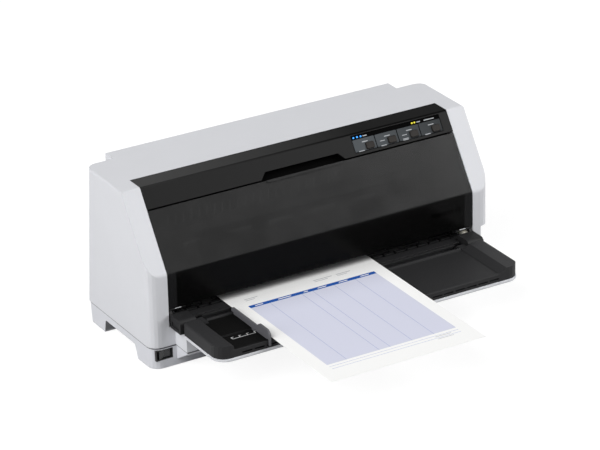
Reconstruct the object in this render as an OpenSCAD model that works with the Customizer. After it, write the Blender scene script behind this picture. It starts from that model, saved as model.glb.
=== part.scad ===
// Flat-bed dot matrix printer: moulded casing, hinged front cover, folding
// sheet tray, print carriage, friction feed with its gear train, and a loaded sheet.
// X runs to the right, Y to the rear and Z up. Heights and depths are measured
// from the surface it stands on and from the front face of the side borders.

/* [Casing] */
// Overall width of the casing
body_w = 480; // [470:1:520]
// Height of the flat top
body_h = 212; // [208:1:226]
// Depth of the casing at the parting line
body_d = 173; // [171:1:190]
// Height at which the front starts to slope back
front_h = 122; // [118:1:126]
// How far back the slope runs
slope_run = 60; // [57:0.5:62]
// Width of the side borders beside the front cover
border_w = 25; // [23:0.5:27]
// How far the rear wall leans in from the parting line to the top
rear_lean = 19.5; // [16:0.5:21]
// Wall of the casing mouldings
wall = 2.6; // [2.2:0.1:3]
// Radius of the upright corners
corner_r = 14; // [10:1:16]
// Radius of the long edges
edge_r = 2.6; // [1.5:0.1:3.4]
// Height of the parting line between base and upper casing
base_h = 28.8; // [28:0.1:30]
// How far the nose's sides lie inside the side borders
nose_in = 7.5; // [6:0.5:11]
// Reach of the nose in front of the borders
nose_reach = 28; // [27:0.5:29]
// Height of the nose's flat top
nose_top = 53; // [52:0.25:53.5]
// Reach of the rear hood behind the rear wall's foot
hood_reach = 3; // [1:0.5:8]
// How far the rear hood's sides lie inside the side borders
hood_in = 14; // [10:1:20]

/* [Control strip] */
// Length of the strip down the slope
strip_drop = 28; // [26:0.5:30]
// Length of the strip over the flat top
strip_top = 26; // [22:1:30]
// Number of buttons and of grey label plates
button_count = 4; // [4:1:4]
// Spacing of the buttons
button_pitch = 31.9; // [30:0.1:33]
// Travel of a button
button_travel = 1.2; // [0.8:0.1:1.4]

/* [Front cover] */
// Thickness of the clear cover
cover_t = 2.4; // [2:0.1:2.8]
// Height of the cover's lower edge
cover_low = 77; // [76:0.5:79]
// Radius of the steel hinge pins
hinge_pin_r = 1.3; // [1:0.1:1.5]

/* [Sheet tray] */
// Length of the tray from its rear rim to its front edge
tray_len = 87; // [83:1:93]
// How far the tray's ends lie inside the side borders
tray_in = 4; // [3.5:0.5:7]
// Height of the pivot that the tray folds up on
tray_pivot_z = 60; // [59.5:0.25:60.5]
// Distance of that pivot in front of the borders
tray_pivot_y = 18; // [17.5:0.25:18.5]
// Thickness of the light plate under the tray
plate_t = 3; // [2.6:0.1:3.4]

/* [Paper] */
// Width of the loaded sheet
sheet_w = 210; // [100:1:216]
// Length of the loaded sheet
sheet_len = 297; // [200:1:356]
// Thickness of the loaded sheet
sheet_t = 0.3; // [0.1:0.05:0.4]
// Left edge of the sheet
sheet_left = -139; // [-139:1:-90]
// How far the sheet has been fed behind the borders
sheet_fed = 51; // [48:1:90]
// Height of the underside of the sheet in its path
path_z = 65.7; // [65.5:0.1:66]

/* [Feed] */
// Distance of the front feed shaft behind the borders
feed_front_y = 22; // [21:0.5:23]
// Distance between the two feed shafts
feed_gap = 84; // [84:0.5:86]
// Radius of the rubber feed rollers
feed_r = 6; // [5.5:0.1:6.4]
// Radius of the pinch rollers above the sheet
pinch_r = 5; // [4.5:0.1:5.4]
// Radius of the feed shafts
feed_shaft_r = 3; // [2.6:0.1:3.4]
// Number of rollers on each shaft
roller_count = 8; // [4:1:10]
// Teeth of the two feed gears
feed_teeth = 40; // [40:2:40]
// Teeth of the idler that joins them
idler_teeth = 48; // [48:2:50]
// Teeth of the motor's pinion
pinion_teeth = 14; // [12:1:16]
// Radius of the paper feed knob
knob_r = 13.5; // [12:0.5:14]

/* [Carriage] */
// Distance of the carriage shaft behind the borders
carriage_y = 84; // [83:0.5:85]
// Height of the carriage shaft
carriage_z = 92; // [91:0.5:93]
// Radius of the carriage shaft
carriage_shaft_r = 6; // [5:0.25:6.5]
// Place of the carriage along its shaft, from the middle
carriage_x = -110; // [-120:1:110]
// Distance of the print line behind the borders
print_y = 62; // [61:0.5:63]
// Radius of the toothed belt on its pulleys
belt_r = 8; // [7:0.25:9]

/* [Hidden] */

$fn = 48;
gap = 0.3;        // between pieces that move past each other
run = 0.06;       // radial clearance of a running shaft
over = 1;         // how far a cut runs past the face that it opens

half_w = body_w / 2;
inner_x = half_w - border_w;
nose_half = inner_x - nose_in;
hood_half = inner_x - hood_in;
tray_half = inner_x - tray_in;
rise = body_h - front_h;
slope_a = atan2(rise, slope_run);
slope_len = norm([slope_run, rise]);
lean_a = atan2(rear_lean, body_h - base_h);
plan_front = -(sheet_len - sheet_fed);
plan_rear = body_d + hood_reach;
plan_mid = (plan_front + plan_rear) / 2;

// ---- drawing helpers ----

// Moves a piece from the borders' front face to the part's own origin
module placed() translate([0, -plan_mid, 0]) children();

// A box between two opposite corners
module block(a, b) translate(a) cube(b - a);

// An outline in Y and Z, extruded along X
module prism_x(x0, x1) translate([x0, 0, 0]) rotate([90, 0, 90]) linear_extrude(x1 - x0) children();

// An outline in X and Z, extruded along Y
module prism_y(y0, y1) translate([0, y1, 0]) rotate([90, 0, 0]) linear_extrude(y1 - y0) children();

// Round bars along each axis
module bar_x(x0, x1, y, z, r) translate([x0, y, z]) rotate([0, 90, 0]) cylinder(h = x1 - x0, r = r);
module bar_y(y0, y1, x, z, r) translate([x, y0, z]) rotate([-90, 0, 0]) cylinder(h = y1 - y0, r = r);
module bar_z(z0, z1, x, y, r) translate([x, y, z0]) cylinder(h = z1 - z0, r = r);

// The same piece on both sides
module both_sides() {
  children();
  mirror([1, 0, 0]) children();
}

// An outline whose corners [a, b, radius] are rounded
function unit(v) = v / norm(v);
function corner(a, p, b, r, steps = 5) =
  let (u = unit(a - p), v = unit(b - p), half = acos(u * v) / 2,
       c = p + unit(u + v) * r / sin(half), s = p + u * r / tan(half), e = p + v * r / tan(half),
       from = atan2(s.y - c.y, s.x - c.x), side = sign(cross(s - c, e - c)))
  [for (i = [0:steps]) c + r * [cos(from + side * (180 - 2 * half) * i / steps),
                                sin(from + side * (180 - 2 * half) * i / steps)]];
function flat2(v) = [v[0], v[1]];
function rounded(p) = let (n = len(p)) [for (i = [0:n - 1]) each
  p[i][2] == 0 ? [flat2(p[i])]
  : corner(flat2(p[(i + n - 1) % n]), flat2(p[i]), flat2(p[(i + 1) % n]), p[i][2])];
module outline(p) polygon(rounded(p));

// A rectangle with rounded corners, from its centre
module round_rect(w, d, r) {
  square([w, d - 2 * r], center = true);
  square([w - 2 * r, d], center = true);
  for (sx = [-1, 1], sy = [-1, 1]) translate([sx * (w / 2 - r), sy * (d / 2 - r)]) circle(r);
}

// Puts a piece on the slope: X across, Y up the slope, Z straight out of it
module on_slope(s, out = 0) translate([0, s * cos(slope_a), front_h + s * sin(slope_a)])
  rotate([slope_a, 0, 0]) translate([0, 0, out]) children();

// ---- casing ----

// Corners of the side view, drawn in by g, from height low upward
function bend_z(g) = front_h - g * (1 - sin(slope_a)) / cos(slope_a);
function brow_y(g) = (g + cos(slope_a) * (rise - g)) / sin(slope_a);
function side_view(g, low) = [[g, low, 0], [g, bend_z(g), 9], [brow_y(g), body_h - g, edge_r],
  [body_d + 60, body_h - g, 0], [body_d + 60, low, 0]];

// A block whose front corners, or rear corners, are rounded in plan
module rounded_front(hw, y0, y1, r, z0, z1) translate([0, 0, z0]) linear_extrude(z1 - z0)
  outline([[-hw, y0, r], [hw, y0, r], [hw, y1, 0], [-hw, y1, 0]]);
module rounded_rear(hw, y0, y1, r, z0, z1) translate([0, 0, z0]) linear_extrude(z1 - z0)
  outline([[-hw, y0, 0], [hw, y0, 0], [hw, y1, r], [-hw, y1, r]]);

// The whole outer form above the parting line, drawn in by g
module upper_form(g, low) intersection() {
  prism_x(-half_w, half_w) outline(side_view(g, low));
  rounded_front(half_w - g, g, body_d + 50, corner_r - g, low, body_h);
  translate([0, body_d, base_h]) rotate([lean_a, 0, 0])
    rounded_rear(half_w - g, -body_d - 50, -g, corner_r - g, low - base_h - 5, body_h);
  prism_y(-over, body_d + 50) outline([[-half_w + g, low, 0], [-half_w + g, body_h - g, edge_r],
    [half_w - g, body_h - g, edge_r], [half_w - g, low, 0]]);
}

strip_back = slope_run + strip_top;
knob_y = feed_front_y + feed_gap / 2;
nose_plate = nose_top - wall;
recess_in = 13.2;           // depth of the knob's recess in the right side
recess_top = 73;
recess_back = knob_y + knob_r + 12;
port_half = 150;            // half width of the connector niche
port_y = body_d - 8.6;
port_top = 56;
port_mid = 44;
inlet_x = 118;
inlet_half = [13.8, 10.2];
parallel_x = -100;
parallel_half = [29, 8];
usb_x = -45;
usb_half = [6.4, 6.4];
slot_half = inner_x - 25;   // half width of the rear paper slot
vent_count = 24;
vent_pitch = 11;

hood_y = plan_rear;
hood_drop = 42;
function hood_view(g) = [[130, body_h - g, 0], [hood_y - g, body_h - g, edge_r],
  [hood_y - g, body_h - hood_drop + g / 2, 2], [hood_y - 20, body_h - hood_drop - 18 + g, 0],
  [130, body_h - hood_drop - 18 + g, 0]];

module nose(g, top, low) {
  prism_x(-nose_half + g, nose_half - g)
    outline([[-nose_reach + g, low, 0], [-nose_reach + g, top, 1.2], [10, top, 0], [10, low, 0]]);
}

module upper_casing() color("#d6d7dc") placed() difference() {
  union() {
    difference() {
      union() {
        upper_form(0, base_h);
        nose(0, nose_top, base_h);
      }
      // the hall behind the front, less the borders' inner walls
      difference() {
        upper_form(wall, base_h - over);
        both_sides() block([inner_x, 0, nose_top], [inner_x + wall, strip_back + wall, body_h]);
      }
      nose(wall, nose_plate, base_h - over);
      // the opening for the strip and the cover
      block([-inner_x, -nose_reach - over, nose_top], [inner_x, strip_back, body_h + over]);
    }
    difference() {
      prism_x(-hood_half, hood_half) outline(hood_view(0));
      prism_x(-hood_half + wall, hood_half - wall) translate([-over, 0]) outline(hood_view(wall));
      upper_form(wall, base_h);
    }
    // walls of the knob's recess
    intersection() {
      upper_form(0, base_h);
      block([half_w - recess_in - wall, 0, base_h],
            [half_w, recess_back + wall, recess_top + wall]);
    }
  }
  // the knob's recess and the hole for its shaft
  block([half_w - recess_in, -over, base_h + wall], [half_w + over, recess_back, recess_top]);
  bar_x(half_w - recess_in - 2 * wall, half_w, knob_y, knob_z, knob_shaft_r + 1);
  // cut-out for the connector housing, and the rear paper slot
  block([-port_half - wall - panel_gap, port_y - 2 * wall, base_h - over],
        [port_half + wall + panel_gap, body_d + over, port_top + wall + panel_gap]);
  block([-slot_half, body_d - 20, path_z - 2], [slot_half, body_d + over, path_z + 20]);
  // ventilation slots above the paper slot
  for (i = [0:vent_count - 1], row = [0, 1])
    block([(i - (vent_count - 1) / 2) * vent_pitch - 1.6, body_d - 25, 98 + row * 26],
          [(i - (vent_count - 1) / 2) * vent_pitch + 1.6, body_d + over, 116 + row * 26]);
  // relief behind the nose's top for the front feed gear
  bar_x(gear_x[0] - 2 * gap, gear_x[1] + 2 * gap, feed_front_y, feed_z,
        pitch_r(feed_teeth) + module_size + 1.5 * gap);
  // bores for the cover's hinge pins
  both_sides() bar_x(inner_x - over, inner_x + wall + over, hinge_y, hinge_z, hinge_pin_r + run);
}

// Separate moulding that forms the connector niche, let into the casing's rear wall
panel_gap = 0.2;
panels = [[parallel_x - parallel_half.x - 6, usb_x + usb_half.x + 6],
  [inlet_x - inlet_half.x - 6, inlet_x + inlet_half.x + 6]];
module connector_housing() color("#d6d7dc") placed() difference() {
  intersection() {
    upper_form(0, base_h);
    block([-port_half - wall, port_y - wall, base_h], [port_half + wall, body_d, port_top + wall]);
  }
  block([-port_half, port_y, base_h + wall], [port_half, body_d + over, port_top]);
  for (p = panels)
    block([p[0], port_y - wall - over, base_h + wall], [p[1], port_y + over, port_top]);
}

// Steel plates in the niche's rear wall, with the sockets' cut-outs
module socket_plates() color("#a9adb2") placed() difference() {
  for (p = panels)
    block([p[0] + panel_gap, port_y - wall, base_h + wall], [p[1] - panel_gap, port_y, port_top - panel_gap]);
  for (c = [[inlet_x, inlet_half], [parallel_x, parallel_half], [usb_x, usb_half]])
    block([c[0] - c[1].x, port_y - wall - over, port_mid - c[1].y],
          [c[0] + c[1].x, port_y + over, port_mid + c[1].y]);
}

// ---- base ----

skirt_z = 1.5;              // the moulding stands this high on its feet
base_in = 1;                // how far the base is set in from the upper casing
base_taper = 3;
joint_gap = 0.5;            // shadow gap along the parting line
joint_in = 1.2;             // the seat starts this far inside the gap
base_floor = 3;
arch_front = 38;            // the hand holds in the sides, from front to rear
arch_rear = 125;
arch_top = 18.5;
arch_deep = 27;
arch_slant = 7;
foot_r = 8;
foot_in = 24;
foot_front_y = 22;
foot_rear_y = 147;
foot_places = [for (sx = [-1, 1], y = [foot_front_y, foot_rear_y]) [sx * (half_w - foot_in), y]];
rocker_x = -half_w + 17.2;
rocker_z = 19;
rocker_half = [11.4, 7];
rocker_deep = 20;           // depth of the rocker's housing

module base_form(g, low, high) intersection() {
  rounded_front(half_w - base_in - g, g, body_d + 50, corner_r - g, low, high);
  translate([0, body_d - base_in, base_h]) rotate([-atan2(base_taper, base_h), 0, 0])
    rounded_rear(half_w - base_in - g, -body_d - 50, -g, corner_r - g, -2 * base_h, base_h);
}

module base_nose(g, top) prism_x(-nose_half + base_in + g, nose_half - base_in - g)
  outline([[-nose_reach + base_in / 2 + g, top, 0], [-nose_reach + base_in / 2 + g, base_h - 2.5 + g, 1],
    [-2, 10 + g, 3], [10, 9 + g, 0], [10, top, 0]]);

function arch_view(g, low) = [[arch_front - g, low, 0], [arch_front + arch_slant - g, arch_top + g, 3],
  [arch_rear - arch_slant / 2 + g, arch_top + g, 3], [arch_rear + g, low, 0]];

module base_casing() color("#cfd0d6") placed() difference() {
  union() {
    difference() {
      union() {
        base_form(0, skirt_z, base_h - joint_gap);
        base_form(joint_in, skirt_z, base_h);
        base_nose(0, base_h - joint_gap);
        base_nose(joint_in, base_h);
      }
      base_form(wall, skirt_z + base_floor, base_h + over);
      base_nose(wall, base_h + over);
      // the way from the nose into the base
      block([-nose_half + 2 * wall, -nose_reach + 2 * wall, base_h - wall - over],
            [nose_half - 2 * wall, wall, base_h + over]);
    }
    // walls round the hand holds
    intersection() {
      base_form(0, skirt_z, base_h - joint_gap);
      both_sides() prism_x(half_w - arch_deep - wall, half_w) outline(arch_view(wall, 0));
    }
    // bosses under the side frames and the boards
    for (p = board_posts) bar_z(skirt_z, board_z, p.x, p.y, 3.2);
    for (sx = [-1, 1], y = frame_posts)
      block([sx * (frame_x - 8) - 6, y - 6, skirt_z], [sx * (frame_x - 8) + 6, y + 6, frame_foot_z]);
  }
  both_sides() prism_x(half_w - arch_deep, half_w + over) outline(arch_view(0, -over));
  for (p = foot_places) bar_z(0, skirt_z + 1.6, p.x, p.y, foot_r + run);
  for (p = screw_places) bar_z(0, skirt_z + 1.8, p.x, p.y, 4);
  block([rocker_x - rocker_half.x, -over, rocker_z - rocker_half.y],
        [rocker_x + rocker_half.x, rocker_deep, rocker_z + rocker_half.y]);
}

module rubber_feet() color("#2c2c2c") placed() for (p = foot_places) {
  bar_z(0.6, skirt_z + 1.6, p.x, p.y, foot_r);
  bar_z(0, 0.6, p.x, p.y, foot_r - 0.6);
}

screw_places = [for (sx = [-1, 1], y = [12, 150]) [sx * 150, y]];
module case_screws() color("#8a8c90") placed() for (p = screw_places) difference() {
  bar_z(skirt_z + 0.2, skirt_z + 1.8, p.x, p.y, 3.6);
  translate([p.x, p.y, skirt_z]) cube([5, 0.9, 1.4], center = true);
  translate([p.x, p.y, skirt_z]) cube([0.9, 5, 1.4], center = true);
}

rocker_rim = 1.4;
module rocker_housing() color("#161616") placed() difference() {
  block([rocker_x - rocker_half.x, 0.8, rocker_z - rocker_half.y],
        [rocker_x + rocker_half.x, rocker_deep, rocker_z + rocker_half.y]);
  block([rocker_x - rocker_half.x + rocker_rim, -over, rocker_z - rocker_half.y + rocker_rim],
        [rocker_x + rocker_half.x - rocker_rim, rocker_deep - 6, rocker_z + rocker_half.y - rocker_rim]);
  bar_z(rocker_z - rocker_half.y, rocker_z + rocker_half.y, rocker_x, rocker_pivot_y, 1.5 + run);
}

rocker_pivot_y = 9;
rocker_reach = 8.6;         // half length of the rocker's face
rocker_tilt = 8;            // the rocker rests tilted by this much to either side
module power_rocker() color("#202020") placed() translate([rocker_x, rocker_pivot_y, 0])
  rotate([0, 0, rocker_tilt]) {
    bar_z(rocker_z - rocker_half.y + 0.3, rocker_z + rocker_half.y - 0.3, 0, 0, 1.5);
    translate([0, 0, rocker_z - rocker_half.y + 1.7]) linear_extrude(2 * rocker_half.y - 3.4)
      outline([[-rocker_reach, -7.6, 0.6], [0, -6.2, 6], [rocker_reach, -7.6, 0.6], [6.8, 1, 1], [0, 3.4, 2],
        [-6.8, 1, 1]]);
  }

// ---- control strip ----

strip_s = slope_len - strip_drop;         // where the strip starts on the slope
strip_half = inner_x - 0.4;
strip_t = 2.5;
recess_low_half = 60;
recess_high_half = 51;
recess_rise = 8.8;
recess_deep = 8;
panel_mid_x = inner_x - 76.6;
panel_half = 64;
panel_s = [strip_s + 3.2, strip_s + 25.4];
plate_s = [strip_s + 4, strip_s + 19.6];
lamp_s = strip_s + 22.3;
button_s = strip_s + 9;
button_size = [11.5, 8.4];
button_x = [for (i = [0:button_count - 1]) panel_mid_x + 6.8 + (i - (button_count - 1) / 2) * button_pitch];
blue_lamp_x = [for (d = [60.1, 54.9, 49.8]) panel_mid_x - d];
yellow_lamp_x = [for (d = [24.3, 28]) panel_mid_x + d];
panel_deep = 1;
flange_half = inner_x - 5;
flange_reach = 6;

// The strip's side view between two depths below the skin
function strip_view(g0, g1, low) =
  let (n = [-sin(slope_a), cos(slope_a)], d = [cos(slope_a), sin(slope_a)], foot = [0, front_h] + low * d)
  [[(foot - n * g0).x, (foot - n * g0).y, 0],
   [brow_y(g0), body_h - g0, edge_r], [strip_back - 0.3, body_h - g0, 0],
   [strip_back - 0.3, body_h - g1, 0], [brow_y(g1), body_h - g1, 0.4],
   [(foot - n * g1).x, (foot - n * g1).y, 0]];

module recess_shape(s0, s1, grow) linear_extrude(recess_deep)
  polygon([[-recess_low_half - grow, s0], [recess_low_half + grow, s0],
           [recess_high_half + grow, s1], [-recess_high_half - grow, s1]]);

module control_strip() color("#262626") placed() difference() {
  union() {
    prism_x(-strip_half, strip_half) outline(strip_view(0, strip_t, strip_s));
    both_sides() prism_x(strip_half - 2.5, strip_half) outline(strip_view(0.2, 9, strip_s));
    // flange that closes the gap behind the cover's upper edge, and the web that carries it
    on_slope(strip_s - flange_reach, -recess_deep - 2)
      cube_at([-flange_half, 0, 0], [2 * flange_half, flange_reach + 2, 2]);
    both_sides() on_slope(strip_s, -recess_deep - 2)
      cube_at([recess_low_half + 2, 0, 0], [flange_half - recess_low_half - 2, 2, recess_deep + 0.5]);
    // the scoop behind the finger recess
    on_slope(strip_s, -recess_deep - 2) recess_shape(0, recess_rise + 2.5, 2.5);
    // tongue under the casing's top, and lugs against the borders' inner walls
    block([-strip_half + 10, strip_back - 8, body_h - wall - strip_t],
          [strip_half - 10, strip_back + 6, body_h - wall]);
    block([-strip_half + 10, strip_back - 8, body_h - wall - strip_t],
          [strip_half - 10, strip_back - 0.3, body_h - 1]);
    both_sides() on_slope(strip_s + 12, -9) translate([strip_half - 2.5, 0, 0])
      cube([inner_x - strip_half + 2.5, 10, 6]);
  }
  on_slope(strip_s, -recess_deep) recess_shape(-over, recess_rise, 0);
  on_slope(0, -panel_deep) linear_extrude(5) translate([panel_mid_x, (panel_s[0] + panel_s[1]) / 2])
    round_rect(2 * panel_half, panel_s[1] - panel_s[0], 1);
  for (x = button_x) on_slope(button_s, -10) linear_extrude(20) translate([x, 0])
    round_rect(button_size.x + 0.6, button_size.y + 0.6, 1.9);
  for (x = concat(blue_lamp_x, yellow_lamp_x)) on_slope(lamp_s, -10) translate([x, 0, 0])
    cylinder(h = 20, r = 1.25, $fn = 24);
}

// One grey label plate per button, with the button's hole
module label_plates() color("#4d5358") placed() for (i = [0:button_count - 1])
  on_slope(0, -panel_deep) difference() {
    linear_extrude(0.7) translate([button_x[i] - 6.7, (plate_s[0] + plate_s[1]) / 2])
      round_rect(button_pitch - 1.3, plate_s[1] - plate_s[0], 0.6);
    translate([button_x[i], button_s, -over]) linear_extrude(3)
      round_rect(button_size.x + 0.6, button_size.y + 0.6, 1.9);
  }

button_proud = 1.3;
button_foot = 4.6;
module button(i) color("#35383b") placed() on_slope(button_s, -button_foot) translate([button_x[i], 0, 0]) {
  linear_extrude(button_foot + button_proud - 0.5) round_rect(button_size.x, button_size.y, 1.6);
  linear_extrude(button_foot + button_proud) round_rect(button_size.x - 1, button_size.y - 1, 1.2);
}
module button_1() button(0);
module button_2() button(1);
module button_3() button(2);
module button_4() button(3);

board_deep = 7;             // the control board lies this far below the slope
module lamps(places) for (x = places) on_slope(lamp_s, -board_deep) translate([x, 0, 0]) {
  cylinder(h = board_deep - 0.4, r = 1.15, $fn = 24);
  translate([0, 0, board_deep - 0.4]) cylinder(h = 0.3, r1 = 1.15, r2 = 0.9, $fn = 24);
  cylinder(h = 1, r = 1.5, $fn = 24);
}
module blue_lamps() color("#3aa0f0") placed() lamps(blue_lamp_x);
module yellow_lamps() color("#e8d800") placed() lamps(yellow_lamp_x);

// Board behind the buttons, with one key switch under each
module control_board() color("#2f6b45") placed() {
  on_slope(0, -board_deep - 1.6) translate([0, panel_s[0], 0])
    cube_at([panel_mid_x - panel_half + 1, 0, 0], [2 * panel_half - 2, panel_s[1] - panel_s[0] - 1, 1.6]);
  for (x = button_x) on_slope(button_s, -board_deep - 0.5) translate([x, 0, 0])
    cylinder(h = board_deep - button_foot - button_travel + 0.4, r = 2.2, $fn = 24);
  for (sx = [-1, 1]) on_slope(panel_s[0] + 13.5, -board_deep - 0.5)
    cube_at([panel_mid_x + sx * (panel_half - 5) - 2, -2, 0], [4, 4, board_deep - strip_t + 0.5]);
}
module cube_at(p, size) translate(p) cube(size);

// ---- front cover ----

hinge_y = 3.4;
hinge_z = cover_low - 3;
cover_half = inner_x - 1;
cover_gap = 1.6;            // between the cover and the strip
knuckle_x = [inner_x - 30.5, inner_x - 25.5];
knuckle_r = hinge_pin_r + 1.8;
lip_half = 52;

function cover_view(g0, g1) =
  let (n = [-sin(slope_a), cos(slope_a)], d = [cos(slope_a), sin(slope_a)],
       head = [0, front_h] + (strip_s - cover_gap) * d)
  [[g0, cover_low, 0], [g0, bend_z(g0), 6], [(head - n * g0).x, (head - n * g0).y, 0.8],
   [(head - n * g1).x, (head - n * g1).y, 0], [g1, bend_z(g1), 5], [g1, cover_low, 0]];

cover_in = 0.3;             // the cover's face lies this far behind the borders' face
module front_cover() color([0.18, 0.18, 0.19, 0.8]) placed() difference() {
  union() {
    prism_x(-cover_half, cover_half) outline(cover_view(cover_in, cover_in + cover_t));
    both_sides() prism_x(cover_half - cover_t, cover_half) outline(cover_view(cover_in, 11));
    // stiffening rim along the inner side of the upper edge
    on_slope(strip_s - 3.6, -cover_in - cover_t - 3) translate([-cover_half + 1, 0, 0])
      cube([2 * cover_half - 2, 2.2, 3.2]);
    // finger lip below the recess
    on_slope(strip_s - cover_gap - 3.4, -cover_in - 0.2) linear_extrude(1.5)
      outline([[-lip_half, 0, 1.5], [lip_half, 0, 1.5], [lip_half + 2, 3.4, 0.4], [-lip_half - 2, 3.4, 0.4]]);
    // hinge knuckles that hang below the cover's lower edge
    both_sides() bar_x(knuckle_x[0], knuckle_x[1], hinge_y, hinge_z, knuckle_r);
    both_sides() block([knuckle_x[0], cover_in + 0.2, hinge_z], [knuckle_x[1], hinge_y + 2, cover_low + 8]);
  }
  both_sides() bar_x(knuckle_x[0] - over, knuckle_x[1] + over, hinge_y, hinge_z, hinge_pin_r + run);
}

module cover_pins() color("#c9ccd0") placed()
  both_sides() bar_x(knuckle_x[0] - 1, inner_x + wall, hinge_y, hinge_z, hinge_pin_r);

// ---- sheet tray ----

bracket_x = [inner_x - 23.5, inner_x - 1];
bracket_top = 70.5;
rest_z = path_z - gap;      // what carries the sheet ends just below it
tray_rear = -25;
tray_front = tray_rear - tray_len;
tray_low = nose_top + 0.7;
floor_z = 63.4;
rim_up = 0.8;               // the front rim stands this far above the floor
block_x = tray_half - 21;   // inner edges of the raised blocks at both ends
block_z = 70;
block_rear = tray_rear - 5;
ramp_x = block_x - 12;      // foot of the right block's sloped inner side
lug_x = [inner_x - 35, inner_x - 25];
lug_r = 6;
tray_pin_r = 2.5;
plan_r = 17;
axis_y = -tray_pivot_y;
boss_x = [bracket_x[1] - 8.2, bracket_x[1]];

// Brackets that carry the tray, each with an arm and boss round the cover's pin
module tray_brackets() color("#1e1e1f") placed() both_sides() difference() {
  union() {
    prism_x(bracket_x[0], bracket_x[1]) outline([[-26, nose_top, 0.8], [-26, bracket_top, 6],
      [-1, bracket_top, 1], [-1, nose_top, 0.8]]);
    bar_x(boss_x[0], boss_x[1], hinge_y, hinge_z, hinge_pin_r + 0.9);
    // the arm stands clear of the feed gear
    prism_x(gear_x[1] + 0.8, bracket_x[1]) outline([[-3, 60, 0], [-3, 66.5, 0], [hinge_y - 2, hinge_z - 1, 0],
      [hinge_y + 2, hinge_z - 1.5, 0], [4.5, 62, 0], [2, 60, 0]]);
  }
  bar_x(boss_x[0] - over, boss_x[1] + over, hinge_y, hinge_z, hinge_pin_r + run);
  bar_x(bracket_x[0] - over, bracket_x[0] + 12, axis_y, tray_pivot_z, tray_pin_r + run);
  // scoop in the outer side
  block([bracket_x[1] - 1.2, -22, nose_top + 4], [bracket_x[1] + over, -5, nose_top + 10]);
}

module tray_pins() color("#b9bcc0") placed() both_sides()
  bar_x(lug_x[0] + 1, bracket_x[0] + 11.8, axis_y, tray_pivot_z, tray_pin_r);

// Outline of the tray in plan, between its rear rim and a front edge
module tray_plan(hw, front, r) outline([[-hw, tray_rear, 0.8], [-hw, front, r], [hw, front, r],
  [hw, tray_rear, 0.8]]);

guide_x = sheet_left - 2.4;               // inner face of the edge guide
slot_count = 22;
slot_pitch = 16.4;
slot_z = [56.8, 58.8];
module sheet_tray() color("#262627") placed() difference() {
  union() {
    difference() {
      intersection() {
        translate([0, 0, tray_low]) linear_extrude(block_z - tray_low)
          tray_plan(tray_half, tray_front, plan_r);
        union() {
          // floor, rear rim and front rim
          prism_x(-tray_half, tray_half) outline([[tray_rear, tray_low, 0], [tray_rear, rest_z, 0.8],
            [tray_rear - 3, rest_z, 0.8], [tray_rear - 3.6, floor_z, 0.4], [tray_front + 3.4, floor_z, 0.4],
            [tray_front + 2.8, floor_z + rim_up, 0.4], [tray_front, floor_z + rim_up, 1.6],
            [tray_front, tray_low, 0.6]]);
          // raised blocks at both ends, the right one with a sloped inner side
          prism_y(tray_front, block_rear) outline([[-tray_half, tray_low, 0], [-tray_half, block_z, 3],
            [-block_x, block_z, 2.4], [-block_x, tray_low, 0]]);
          prism_y(tray_front, block_rear) outline([[ramp_x, tray_low, 0], [ramp_x, floor_z - gap, 0],
            [block_x, block_z, 2], [tray_half, block_z, 3], [tray_half, tray_low, 0]]);
        }
      }
      // the ends stop short of the brackets
      both_sides() block([lug_x[0] - 1, block_rear, tray_low - over], [tray_half + over, 0, block_z + over]);
    }
    // lugs that reach back to the pivot
    both_sides() prism_x(lug_x[0], lug_x[1]) outline([[block_rear - 4, 56, 0], [block_rear - 4, 64.4, 0],
      [axis_y + 1, tray_pivot_z + lug_r - 1, 4], [axis_y + lug_r, tray_pivot_z, 4],
      [axis_y, tray_pivot_z - lug_r + 0.6, 3]]);
  }
  both_sides() bar_x(lug_x[0] - over, lug_x[1] + over, axis_y, tray_pivot_z, tray_pin_r + run);
  // hollow underside, closed by the light plate
  translate([0, 0, tray_low - over]) linear_extrude(floor_z - 3.2 - tray_low + over)
    translate([0, (block_rear + tray_front) / 2])
      round_rect(2 * tray_half - 10, block_rear - tray_front - 8, plan_r - 4);
  // band for the ruler, and the groove in it that the edge guide slides in
  block([-block_x + 4, ruler_y[0], floor_z - ruler_deep], [guide_x + 14, ruler_y[1], floor_z + over]);
  block([-block_x + 4, guide_rail_y - 3, floor_z - 2.4], [60, guide_rail_y + 3, floor_z + over]);
  // slots in the front face
  for (i = [0:slot_count - 1]) let (x = (i - (slot_count - 1) / 2) * slot_pitch)
    block([x - slot_pitch / 2 + 1.3, tray_front - over, slot_z[0]],
          [x + slot_pitch / 2 - 1.3, tray_front + 2.4, slot_z[1]]);
}

// Outline of the light plate, which stops in front of the nose
module plate_plan(grow, front)
  outline([[-tray_half - grow, block_rear, 0.8], [-tray_half - grow, front, plan_r + 2],
    [tray_half + grow, front, plan_r + 2], [tray_half + grow, block_rear, 0.8]]);
underplate_front = tray_front - 1.8;
module tray_underplate() color("#c9cbd0") placed() translate([0, 0, tray_low - plate_t]) {
  linear_extrude(plate_t - 0.8) plate_plan(0.8, underplate_front);
  translate([0, 0, plate_t - 0.8]) linear_extrude(0.8) plate_plan(0, underplate_front + 0.9);
}

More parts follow.
